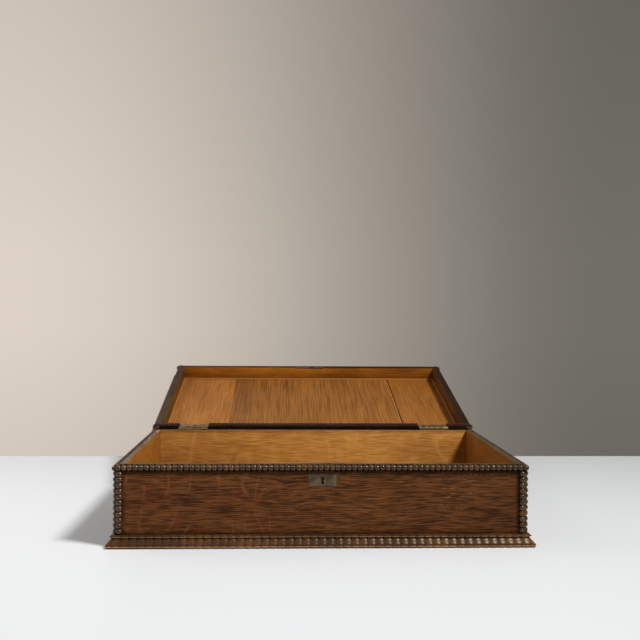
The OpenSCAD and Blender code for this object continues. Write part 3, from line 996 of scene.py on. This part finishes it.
def outside_oak(sizes: BoxSizes) -> list[OakFinish]:
    """Makes the dark finishes of the faces that look outwards.

    Args:
        sizes: The box's sizes.

    Returns:
        The finishes.
    """
    under_beads = sizes.rim_z - 2 * sizes.bead_radius
    end = sizes.box.half_width
    # Painted shade, with some soiling, darkens the boards along the foot moulding, under the rim beads and
    # beside the corner strips
    foot = Band(Axis.Z, 0.0, sizes.mould_h + 3 * MM, SHADE_AND_GRIME, 0.6)
    head = Band(Axis.Z, under_beads - 4 * MM, sizes.rim_z, SHADE_AND_GRIME, 0.75, 3 * MM)
    left = Band(Axis.X, -end, -end + 13 * MM, SHADE_AND_GRIME, 0.7)
    right = Band(Axis.X, end - 13 * MM, end, SHADE_AND_GRIME, 0.8)
    dark_end = Band(Axis.X, 220 * MM, 500 * MM, srgb(44, 24, 13), 0.32, 130 * MM)
    # Painted shade darkens the outsides of the lid's rails along their rim, as in the shadowed gap at the
    # hinges
    joint = Band(Axis.Z, sizes.lid_low - 2 * MM, sizes.lid_low + 8 * MM, SHADE_AND_GRIME, 0.85, 2 * MM, False)
    front = OakFinish(
        "oak_front", srgb(119, 71, 36), srgb(26, 14, 7), Grain.ALONG_X, lines=1.2, line_gap=1.3,
        line_run=26.0, wander=20.0, tone=0.5, pores=0.75, roughness=0.46, gloss=0.1,
        rays=Rays(
            srgb(134, 84, 50), srgb(106, 51, 29), 0.5, 0.5, end_x=-170 * MM, fade=260 * MM,
            levels=12.0, width=0.16,
        ),
        scuffs=Scuffs(
            srgb(160, 126, 92), (190 * MM, -sizes.box.half_depth, sizes.rim_z - 38 * MM), 60 * MM, 0.35
        ),
        bands=(foot, head, left, right, dark_end),
    )
    outside = replace(
        front, name="oak_outside_long", seed=3.1, scuffs=None,
        rays=Rays(srgb(130, 80, 46), srgb(112, 58, 36), 0.45, 0.3, end_x=100 * MM, fade=400 * MM, width=0.25),
    )
    lid_outside = replace(outside, name="oak_lid_outside_long", swung=True, seed=9.1, bands=(joint,))
    return [
        front, outside, lid_outside,
        replace(outside, name="oak_outside_short", grain=Grain.ALONG_Y, seed=5.7, bands=(foot, head)),
        replace(lid_outside, name="oak_lid_outside_short", grain=Grain.ALONG_Y, seed=9.8, rays=None),
        replace(lid_outside, name="oak_lid_top", grain=Grain.FLAT_Y, seed=14.2, bands=()),
    ]


def inside_oak(sizes: BoxSizes) -> list[OakFinish]:
    """Makes the honey-coloured finishes of the inside of the box and of its lid, and that of the underside.

    Args:
        sizes: The box's sizes.

    Returns:
        The finishes.
    """
    worn_edge = Band(Axis.Z, sizes.rim_z - 5 * MM, sizes.rim_z, srgb(120, 72, 34), 0.5, 3 * MM)
    light_line = Band(
        Axis.Z, sizes.panel_z - 3.5 * MM, sizes.panel_z, srgb(222, 166, 96), 0.85, 0.8 * MM, False
    )
    inside = OakFinish(
        "oak_inside_long", srgb(196, 140, 68), srgb(132, 82, 30), Grain.ALONG_X, lines=0.8, line_gap=1.5,
        line_run=40.0, tone=0.7, pores=0.3, roughness=0.55, gloss=0.15, seed=1.3, bands=(worn_edge,),
        rays=Rays(
            srgb(200, 146, 78), srgb(170, 106, 50), 0.3, 0.3, end_x=300 * MM, fade=500 * MM, width=0.25
        ),
    )
    bottom = replace(
        inside, name="oak_inside_bottom", grain=Grain.FLAT_X, tone=0.45, seed=2.6, rays=None, bands=()
    )
    lid_inside = OakFinish(
        "oak_lid_inside_long", srgb(174, 104, 26), srgb(88, 46, 10), Grain.ALONG_X, swung=True, lines=0.5,
        line_gap=1.5, tone=1.2, pores=0.4, gloss=0.15, seed=11.4, bands=(light_line,),
    )
    return [
        inside, bottom, lid_inside,
        replace(inside, name="oak_inside_short", grain=Grain.ALONG_Y, pale=srgb(162, 106, 38),
                deep=srgb(108, 62, 17), seed=8.2, rays=None, bands=()),
        replace(lid_inside, name="oak_lid_inside_short", grain=Grain.ALONG_Y, pale=srgb(118, 72, 20),
                deep=srgb(64, 36, 9), seed=12.9),
        replace(bottom, name="oak_underside", pale=srgb(136, 104, 72), deep=srgb(84, 60, 40),
                roughness=0.75, seed=4.4),
    ]


def panel_oak(sizes: BoxSizes) -> list[OakFinish]:
    """Makes the finishes of the three boards that are seen inside the lid.

    Args:
        sizes: The box's sizes.

    Returns:
        The finishes.
    """
    joint, crack = sizes.joint_x, sizes.crack_x
    panel = OakFinish(
        "oak_panel_left", srgb(168, 109, 52), srgb(122, 73, 29), Grain.FLAT_Y, swung=True, lines=0.8,
        line_gap=1.6, line_run=90.0, wander=8.0, pores=0.3, gloss=0.15, seed=15.5,
    )
    middle_bands = (
        Band(Axis.X, joint, joint + 36 * MM, srgb(96, 58, 26), 0.32, 6 * MM),
        Band(Axis.X, crack - 3 * MM, crack - 1.5 * MM, srgb(196, 140, 82), 0.3, 0.5 * MM, False),
        Band(Axis.X, crack - 0.9 * MM, crack, srgb(40, 22, 10), 0.85, 0.3 * MM, False),
    )
    return [
        panel,
        replace(panel, name="oak_panel_middle", pale=srgb(156, 100, 44), deep=srgb(98, 58, 22), lines=1.0,
                line_gap=2.2, line_run=160.0, seed=16.4, bands=middle_bands),
        replace(panel, name="oak_panel_right", pale=srgb(160, 101, 38), deep=srgb(108, 63, 22), lines=0.7,
                seed=17.8),
    ]


def rim_oak(sizes: BoxSizes) -> list[OakFinish]:
    """Makes the grey-brown finishes of the rims that meet when the lid is shut.

    Args:
        sizes: The box's sizes.

    Returns:
        The finishes.
    """
    front, back = -sizes.box.half_depth, sizes.lid.half_depth
    dark_front = Band(Axis.Y, front, front + 10 * MM, srgb(78, 52, 32), 0.85, 1 * MM, False)
    dark_right = Band(Axis.X, 100 * MM, 1.5 * sizes.box.half_width, srgb(46, 44, 28), 0.7, 100 * MM, False)
    lid_right = Band(Axis.X, 0.0, 1.5 * sizes.lid.half_width, srgb(30, 19, 12), 0.85, 120 * MM, False)
    # Painted shade darkens the back rim of the lid at the hinges, where the gap lies in shadow
    at_hinges = Band(Axis.Y, back - 8 * MM, back + 4 * MM, SHADE_AND_GRIME, 0.85)
    rim = OakFinish(
        "oak_rim", srgb(114, 96, 80), srgb(54, 42, 32), Grain.FLAT_X, lines=0.7, tone=0.6, gloss=0.35,
        seed=6.0, bands=(dark_front, dark_right),
        rays=Rays(
            srgb(170, 154, 136), srgb(110, 84, 66), 0.6, 0.3, end_x=-250 * MM, fade=200 * MM,
            levels=14.0, width=0.12,
        ),
    )
    return [
        rim,
        replace(rim, name="oak_hinge_rim", grain=Grain.ALONG_X, swung=True, gloss=0.05, seed=7.9,
                pale=srgb(78, 41, 22), deep=srgb(38, 20, 11), rays=None, bands=(at_hinges,)),
        replace(rim, name="oak_lid_rim", grain=Grain.FLAT_Y, swung=True, gloss=0.05, seed=7.3,
                pale=srgb(86, 67, 52), deep=srgb(42, 30, 22), rays=None, bands=(lid_right,)),
    ]


def trim_finishes() -> list[TrimFinish]:
    """Makes the finishes of the bead strips and the ripple mouldings.

    Returns:
        The finishes.
    """
    beads = TrimFinish(
        "stained_beads", srgb(46, 28, 11), srgb(124, 74, 28), wear=0.6, roughness=0.2, gloss=0.6, seed=1.0,
        crevice=0.6, open_at=0.85,
    )
    ripples = TrimFinish(
        "stained_ripples", srgb(62, 38, 20), srgb(112, 68, 36), wear=0.7, roughness=0.32, gloss=0.25,
        seed=3.0, patch_scale=14.0, crevice=-0.3, open_at=0.6, dirt=0.7, arrises=(2.9 * MM, 15.4 * MM),
    )
    return [
        beads, replace(beads, name="stained_lid_beads", swung=True, seed=2.0),
        ripples, replace(ripples, name="stained_lid_ripples", swung=True, seed=4.0),
    ]


def metal_finishes() -> list[MetalFinish]:
    """Makes the finishes of the hinges, the lock and the plates.

    Returns:
        The finishes.
    """
    hinge = MetalFinish(
        "hinge_brass", srgb(156, 133, 92), srgb(74, 60, 40), metal=0.9, rubbed=0.28, dullness=0.9
    )
    plate = MetalFinish(
        "keyhole_brass", srgb(100, 84, 60), srgb(58, 46, 30), metal=0.6, rubbed=0.42, dullness=0.75
    )
    steel = MetalFinish("lock_steel", srgb(84, 79, 73), srgb(36, 31, 27), metal=0.8)
    return [
        hinge, replace(hinge, name="lid_hinge_brass", swung=True), plate,
        steel, replace(steel, name="catch_steel", swung=True),
    ]


class FinishShelf:
    """Builds each finish once and hands it out by name."""

    def __init__(self, finishes: Iterable[Finish]) -> None:
        """Puts the finishes on the shelf by their names, with none of them built.

        Args:
            finishes: The finishes.
        """
        self._finishes = {finish.name: finish for finish in finishes}
        self._made: dict[str, bpy.types.Material] = {}

    def __getitem__(self, name: str) -> bpy.types.Material:
        """Gives the material of one finish, and builds it when it is first asked for.

        Args:
            name: The finish's name.

        Returns:
            The material.
        """
        if name not in self._made:
            self._made[name] = self._finishes[name].material()
        return self._made[name]


def by_facing(side: Side, rim: Vector) -> Callable[[Vector], int]:
    """Chooses a board's outside, inside or rim finish by the way that a face looks.

    Args:
        side: The board's side of the box.
        rim: The direction of its rim, up for the box and down for the lid.

    Returns:
        The function that chooses 2 for the rim, 1 for the inside and 0 for everything else.
    """
    out = side.turn @ Vector((0, 1, 0))

    def choose(direction: Vector) -> int:
        """The number of the finish for a face that looks in this direction."""
        return 2 if direction.dot(rim) > RIM_FACING else int(direction.dot(out) < -SIDE_FACING)
    return choose


def by_height(way: Vector) -> Callable[[Vector], int]:
    """Chooses the second of two finishes for the faces that look one way, up or down.

    Args:
        way: The direction.

    Returns:
        The function that chooses 1 for those faces and 0 for all others.
    """
    def choose(direction: Vector) -> int:
        """The number of the finish for a face that looks in this direction."""
        return int(direction.dot(way) > SIDE_FACING)
    return choose


@dataclass
class Joinery:
    """Boards with eased edges and a finish for each face."""

    shelf: FinishShelf
    ease: float = 0.5 * MM
    ease_steps: int = 2
    ease_profile: float = 0.6
    shortest: float = 6 * MM
    soft_edge: float = 35.0

    def eased(self, node: str) -> bpy.types.Object:
        """Copies a CAD board, merges its loose triangles and eases its longer edges.

        Args:
            node: The CAD node.

        Returns:
            The new board.
        """
        work = bmesh.new()
        work.from_mesh(frame["nodes"][node].data)
        bmesh.ops.remove_doubles(work, verts=work.verts[:], dist=SAME_POINT)
        bmesh.ops.dissolve_limit(work, angle_limit=FLAT_ANGLE, verts=work.verts[:], edges=work.edges[:])
        corners = [
            edge for edge in work.edges
            if len(edge.link_faces) == 2 and edge.calc_face_angle(0.0) > CORNER_ANGLE
            and edge.calc_length() > self.shortest
        ]
        bmesh.ops.bevel(
            work, geom=corners, offset=self.ease, offset_type="OFFSET", segments=self.ease_steps,
            profile=self.ease_profile, affect="EDGES", clamp_overlap=True,
        )
        bmesh.ops.triangulate(work, faces=[face for face in work.faces if len(face.verts) > 4])
        name = node + "_wood"
        mesh = bpy.data.meshes.new(name)
        work.to_mesh(mesh)
        work.free()
        shade_by_angle(mesh, self.soft_edge)
        return stand(name, mesh)

    def board(self, node: str, body: str, slot: str, finishes: Sequence[str],
              choose: Callable[[Vector], int]) -> None:
        """Makes one board and gives each of its faces one of several finishes.

        Args:
            node: The CAD node.
            body: The body that it rides on.
            slot: The material slot of the record; not used.
            finishes: The names of the finishes.
            choose: Takes the direction of a face in the shut box and gives the finish's number.
        """
        piece = self.eased(node)
        for name in finishes:
            piece.data.materials.append(self.shelf[name])
        turn = TO_SHUT.to_3x3() if body == "lid" else Matrix.Identity(3)
        for face in piece.data.polygons:
            face.material_index = choose(turn @ face.normal)
        settle(piece, body, node)


@dataclass
class Carcase(Joinery):
    """The four boards and the bottom of the box."""

    def build(self) -> None:
        """Makes the five boards."""
        for side in (Side.FRONT, Side.BACK, Side.LEFT, Side.RIGHT):
            outside = "oak_front" if side is Side.FRONT else f"oak_outside_{side.run}"
            slot = "plain_oak" if side is Side.BACK else "dark_oak"
            finishes = (outside, f"oak_inside_{side.run}", "oak_rim")
            self.board(f"{side.word}_board", "box", slot, finishes, by_facing(side, UP))
        finishes = ("oak_underside", "oak_inside_bottom")
        self.board("bottom_board", "box", "plain_oak", finishes, by_height(UP))


@dataclass
class Lid(Joinery):
    """The rails and top boards of the lid."""

    def build(self) -> None:
        """Makes the seven boards."""
        for side in (Side.FRONT, Side.BACK, Side.LEFT, Side.RIGHT):
            rim = "oak_hinge_rim" if side is Side.BACK else "oak_lid_rim"
            finishes = (f"oak_lid_outside_{side.run}", f"oak_lid_inside_{side.run}", rim)
            self.board(f"lid_{side.word}_rail", "lid", "dark_oak", finishes, by_facing(side, -UP))
        for place in ("left", "middle", "right"):
            finishes = ("oak_lid_top", f"oak_panel_{place}")
            self.board(f"lid_top_{place}_board", "lid", "plain_oak", finishes, by_height(-UP))


def mitres(half: float) -> list[Plane]:
    """The planes of the two mitres of a bar or strip in its side's frame."""
    return [(Vector((end * half, 0, 0)), Vector((end, -1, 0)).normalized()) for end in (-1, 1)]


@dataclass
class BeadTrim:
    """All turned bead strips: whole ones in the rim, split ones up the corners of the box and the lid."""

    sizes: BoxSizes
    shelf: FinishShelf
    pitch: float = 8.03 * MM
    neck: float = 2.7 * MM
    unevenness: float = 0.025
    corner_inset: float = 0.6 * MM
    stock_beyond: float = 1.5
    rim_seed: int = 11
    corner_seed: int = 31
    soft_edge: float = 50.0
    tree: bpy.types.NodeTree = field(default_factory=bead_tree)

    def build(self) -> None:
        """Makes every strip."""
        sizes, radius = self.sizes, self.sizes.bead_radius
        lead = self.stock_beyond * self.pitch
        for number, side in enumerate(Side):
            half = sizes.box.half(side)
            count = math.ceil((2 * half + lead + 2 * radius) / self.pitch)
            place = Matrix.Translation((-half - lead, 0, sizes.rim_z - radius - HAIR))
            node = f"rim_beads_{side.word}"
            self.strip(node, sizes.box, side, count, self.pitch, self.rim_seed + number, place, mitres(half))
        self.uprights("corner", sizes.box, sizes.mould_h, sizes.rim_z - 2 * radius)
        self.uprights("lid", sizes.lid, sizes.lid_low, sizes.lid_top - sizes.mould_h)

    def uprights(self, kind: str, block: Block, low: float, high: float) -> None:
        """Makes the split strips on both sides of each corner.

        Args:
            kind: The word that starts the CAD nodes' names.
            block: What they stand on.
            low: Height of their foot.
            high: Height of their top.
        """
        count = max(1, round((high - low) / self.pitch))
        pitch = (high - low) / count
        cuts = [(Vector((0, 0, 0)), Vector((0, -1, 0))), (low * UP, -UP), (high * UP, UP)]
        sides = list(Side)
        corners = [
            (side, end, sides[(index - end) % len(sides)])
            for index, side in enumerate(sides) for end in (1, -1)
        ]
        for number, (side, end, neighbour) in enumerate(corners):
            along = end * (block.half(side) - self.corner_inset - self.sizes.bead_radius)
            place = Matrix.Translation((along, 0, low)) @ Matrix.Rotation(-math.pi / 2, 4, "Y")
            node = f"{kind}_beads_{side.word}_{neighbour.word}"
            self.strip(node, block, side, count, pitch, self.corner_seed + number, place, cuts)

    def strip(self, node: str, block: Block, side: Side, count: int, pitch: float, seed: int, place: Matrix,
              cuts: Sequence[Plane]) -> None:
        """Makes one strip, cut to length.

        Args:
            node: The CAD node that it stands for.
            block: What it stands on.
            side: The side that it lies on.
            count: How many beads the stock has.
            pitch: Distance from bead to bead.
            seed: The seed of its small differences.
            place: Where the stock's end goes in the side's frame.
            cuts: Planes in that frame at which it is cut.
        """
        made = run_tree(node + "_turned", self.tree, None, {
            "Count": count, "Pitch": pitch, "Radius": self.sizes.bead_radius, "Neck": self.neck,
            "Unevenness": self.unevenness, "Seed": seed, "Material": self.shelf[block.finish("beads")],
        })
        made.data.transform(place)
        trim_mesh(made.data, cuts)
        shade_by_angle(made.data, self.soft_edge)
        made.data.transform(block.side_frame(side))
        settle(made, block.body, node)


@dataclass
class RippleTrim:
    """The ripple moulding round the foot of the box and round the top of the lid."""

    sizes: BoxSizes
    shelf: FinishShelf
    pitch: float = 11.7 * MM
    radius: float = 19.4 * MM
    lip_z: float = 4.2 * MM
    foot_in: float = 1.9 * MM
    astragal_out: float = 7.2 * MM
    astragal_h: float = 3.6 * MM
    groove_in: float = 2.2 * MM
    unevenness: float = 0.03
    steps: int = 6
    slices: int = 6
    foot_seed: int = 51
    lid_seed: int = 61
    soft_edge: float = 32.0
    tree: bpy.types.NodeTree = field(default_factory=ripple_tree)

    def build(self) -> None:
        """Makes all eight bars, those of the lid upside down."""
        sizes = self.sizes
        flip = Matrix.Translation(sizes.lid_top * UP) @ Matrix.Diagonal((1, 1, -1, 1))
        for number, side in enumerate(Side):
            self.bar("base", sizes.box, side, sizes.foot_reach, self.foot_seed + number, Matrix())
            self.bar("lid", sizes.lid, side, sizes.lid_reach, self.lid_seed + number, flip)

    def outline(self, reach: float) -> list[tuple[float, float]]:
        """Draws the moulding's outline from its foot to its top: lip, ogee, astragal and groove.

        Args:
            reach: How far its lip stands out from the face.

        Returns:
            For each point its distance from the face and its height.
        """
        height = self.sizes.mould_h
        groove = self.astragal_out - self.groove_in
        neck = height - self.astragal_h
        points = [(0.0, 0.0), (reach - self.foot_in, 0.0), (reach - self.foot_in / 4, self.lip_z / 3)]
        for step in range(self.steps + 1):
            share = step / self.steps
            wave = (reach - groove) / 2 * math.cos(math.pi * share)
            points.append(((groove + reach) / 2 + wave, self.lip_z + (neck - self.lip_z) * share))
        points += [(self.astragal_out, neck + self.astragal_h * part) for part in (1 / 3, 2 / 3)]
        return points + [(groove, height), (0.0, height)]

    def unit(self, reach: float) -> bpy.types.Mesh:
        """Makes one ripple: the outline turned about an upright line behind the face, as wide as the pitch.

        Args:
            reach: How far its lip stands out from the face.

        Returns:
            Its mesh, open at both sides only.
        """
        behind = self.radius - reach
        outline = self.outline(reach)
        vertices, faces = [], []
        for index in range(self.slices + 1):
            x = (index / self.slices - 0.5) * self.pitch
            for out, height in outline:
                y = 0.0 if out == 0.0 else math.sqrt((behind + out) ** 2 - x * x) - behind
                vertices.append((x, y, height))
        rows = len(outline)
        for index in range(self.slices):
            for row in range(rows):
                first, above = index * rows + row, index * rows + (row + 1) % rows
                faces.append((first, above, above + rows, first + rows))
        mesh = bpy.data.meshes.new("ripple_unit")
        mesh.from_pydata(vertices, [], faces)
        mesh.update()
        return mesh

    def bar(self, kind: str, block: Block, side: Side, reach: float, seed: int, turn: Matrix) -> None:
        """Makes one mitred bar.

        Args:
            kind: The word that starts the CAD node's name.
            block: What it stands on.
            side: The side that it lies on.
            reach: How far its lip stands out from the face.
            seed: The seed of its small differences.
            turn: Where it goes in the side's frame, mirrored for the lid.
        """
        node, half = f"{kind}_ripple_{side.word}", block.half(side)
        made = run_tree(node + "_planed", self.tree, self.unit(reach), {
            "Count": math.ceil(2 * (half + reach) / self.pitch), "Pitch": self.pitch,
            "Groove Height": self.sizes.mould_h - self.astragal_h, "Unevenness": self.unevenness,
            "Seed": seed, "Material": self.shelf[block.finish("ripples")],
        })
        work = bmesh.new()
        work.from_mesh(made.data)
        bmesh.ops.holes_fill(work, edges=[edge for edge in work.edges if edge.is_boundary], sides=0)
        work.to_mesh(made.data)
        work.free()
        trim_mesh(made.data, mitres(half))
        shade_by_angle(made.data, self.soft_edge)
        made.data.transform(block.side_frame(side) @ turn)
        if turn.determinant() < 0:
            made.data.flip_normals()
        settle(made, block.body, node)


@dataclass
class Fittings:
    """The hinges, the lock and the plates, which keep their CAD shapes."""

    shelf: FinishShelf

    def build(self) -> None:
        """Gives each metal node its finish."""
        for finish, nodes in {
            "keyhole_brass": ("keyhole_plate", "keyhole_plate_pins"),
            "lock_steel": ("lock_case", "lock_cap", "lock_hook", "lock_pivot", "lock_screws"),
            "catch_steel": ("catch_plate", "catch_plate_screws"),
            "hinge_brass": (
                "left_hinge_box_leaf", "left_hinge_pin", "right_hinge_box_leaf", "right_hinge_pin",
                "hinge_screws_box",
            ),
            "lid_hinge_brass": ("left_hinge_lid_leaf", "right_hinge_lid_leaf", "hinge_screws_lid"),
        }.items():
            for node in nodes:
                mesh = frame["nodes"][node].data
                mesh.materials.clear()
                mesh.materials.append(self.shelf[finish])
                LOG.info("%s keeps its shape", node)


@dataclass(frozen=True)
class Lamp:
    """A square soft lamp."""

    name: str
    place: tuple[float, float, float]
    size: float
    power: float


@dataclass
class Studio:
    """The pale table, the backdrop, the lamps and the camera."""

    eye: tuple[float, float, float] = (-0.0548, -1.4223, 0.3372)
    yaw: float = math.radians(-2.288)
    pitch: float = math.radians(0.541)
    roll: float = math.radians(0.388)
    lens: float = 48.57
    film: float = 36.0
    nearest: float = 10 * MM
    lamps: tuple[Lamp, ...] = (
        Lamp("key", (1.5, -1.1, 2.5), 0.55, 40.0),
        Lamp("left_fill", (-1.6, 0.2, 1.3), 1.2, 4.5),
    )
    lamp_colour: RGB = (1.0, 0.995, 0.985)
    aim: tuple[float, float, float] = (-1.0, 0.1, 0.0)
    spread: float = math.radians(105)
    soft_light: float = 0.21
    table_back: float = 0.592
    table_reach: float = 2.6
    table_grey: RGB = srgb(220, 222, 224)
    table_roughness: float = 0.5
    table_gloss: float = 0.5
    light_grey: RGB = srgb(222, 210, 199)
    dark_grey: RGB = srgb(113, 110, 102)
    light_end: float = -0.32
    dark_end: float = 0.36
    fall_upwards: tuple[float, ...] = (0.06, 0.34, 1.0, 0.83)
    fall_downwards: tuple[float, ...] = (-0.02, -0.16, 1.0, 0.89)

    def build(self) -> None:
        """Sets up everything round the box."""
        self.table()
        self.world()
        for lamp in self.lamps:
            self.hang(lamp)
        self.camera()
        bpy.context.scene.view_settings.view_transform = "Standard"

    def table(self) -> None:
        """Lays a plain pale table whose far edge lies just behind the open lid."""
        mesh = bpy.data.meshes.new("table_top")
        reach, back = self.table_reach, self.table_back
        corners = [(-reach, -reach, 0), (reach, -reach, 0), (reach, back, 0), (-reach, back, 0)]
        mesh.from_pydata(corners, [], [(0, 1, 2, 3)])
        mesh.materials.append(ShaderGraph("pale_table").surface(
            self.table_grey, self.table_roughness, Specular_IOR_Level=self.table_gloss
        ))
        top = stand("table_top", mesh)

    def world(self) -> None:
        """Sets soft even light, with a plain grey backdrop for the camera and for reflections."""
        world = bpy.data.worlds.new("studio")
        bpy.context.scene.world = world
        world.use_nodes = True
        graph = NodeGraph(world.node_tree)
        across, _, up = graph.split(graph.node("ShaderNodeTexCoord").outputs["Generated"])
        share = graph.ramp(across, self.light_end, self.dark_end)
        colour = graph.blend(share, self.light_grey, self.dark_grey)
        falls = (graph.ramp(up, *fall, kind="LINEAR") for fall in (self.fall_upwards, self.fall_downwards))
        strength = graph.math("MULTIPLY", *falls)
        seen = graph.node("ShaderNodeBackground", {"Color": colour, "Strength": strength})
        soft = graph.node("ShaderNodeBackground", {"Color": WHITE, "Strength": self.soft_light})
        rays = graph.node("ShaderNodeLightPath").outputs
        names = ("Is Camera Ray", "Is Glossy Ray", "Is Transmission Ray")
        shown = graph.math("MAXIMUM", *(rays[name] for name in names))
        mix = graph.node("ShaderNodeMixShader", {0: shown, 1: soft.outputs[0], 2: seen.outputs[0]})
        graph.node("ShaderNodeOutputWorld", {0: mix.outputs[0]})

    def hang(self, lamp: Lamp) -> None:
        """Hangs a lamp and aims it to the left of the box, where the table is lightest.

        Args:
            lamp: The lamp.
        """
        light = bpy.data.lights.new(lamp.name, "AREA")
        light.shape = "SQUARE"
        light.size = lamp.size
        light.energy = lamp.power
        light.spread = self.spread
        light.color = self.lamp_colour
        hung = bpy.data.objects.new(lamp.name, light)
        hung.location = lamp.place
        hung.rotation_euler = (Vector(self.aim) - Vector(lamp.place)).to_track_quat("-Z", "Y").to_euler()
        bpy.context.scene.collection.objects.link(hung)

    def camera(self) -> None:
        """Sets the camera at the photograph's angle."""
        ahead = math.cos(self.pitch)
        forward = Vector((-math.sin(self.yaw) * ahead, math.cos(self.yaw) * ahead, -math.sin(self.pitch)))
        level = Vector((math.cos(self.yaw), math.sin(self.yaw), 0.0))
        upright = level.cross(forward)
        right = level * math.cos(self.roll) + upright * math.sin(self.roll)
        up = upright * math.cos(self.roll) - level * math.sin(self.roll)
        data = bpy.data.cameras.new("camera")
        data.lens = self.lens
        data.sensor_width = self.film
        data.clip_start = self.nearest
        camera = bpy.data.objects.new("camera", data)
        turn = Matrix((right, up, -forward)).transposed().to_4x4()
        camera.matrix_world = Matrix.Translation(self.eye) @ turn
        bpy.context.scene.collection.objects.link(camera)
        bpy.context.scene.camera = camera


def main() -> None:
    """Builds the scene in order."""
    logging.basicConfig(level=logging.INFO, format="%(message)s")
    sizes = BoxSizes.measured()
    oak = outside_oak(sizes) + inside_oak(sizes) + panel_oak(sizes) + rim_oak(sizes)
    shelf = FinishShelf([*oak, *trim_finishes(), *metal_finishes()])
    Carcase(shelf).build()
    Lid(shelf).build()
    BeadTrim(sizes, shelf).build()
    RippleTrim(sizes, shelf).build()
    Fittings(shelf).build()
    Studio().build()


if __name__ == "__main__":
    main()
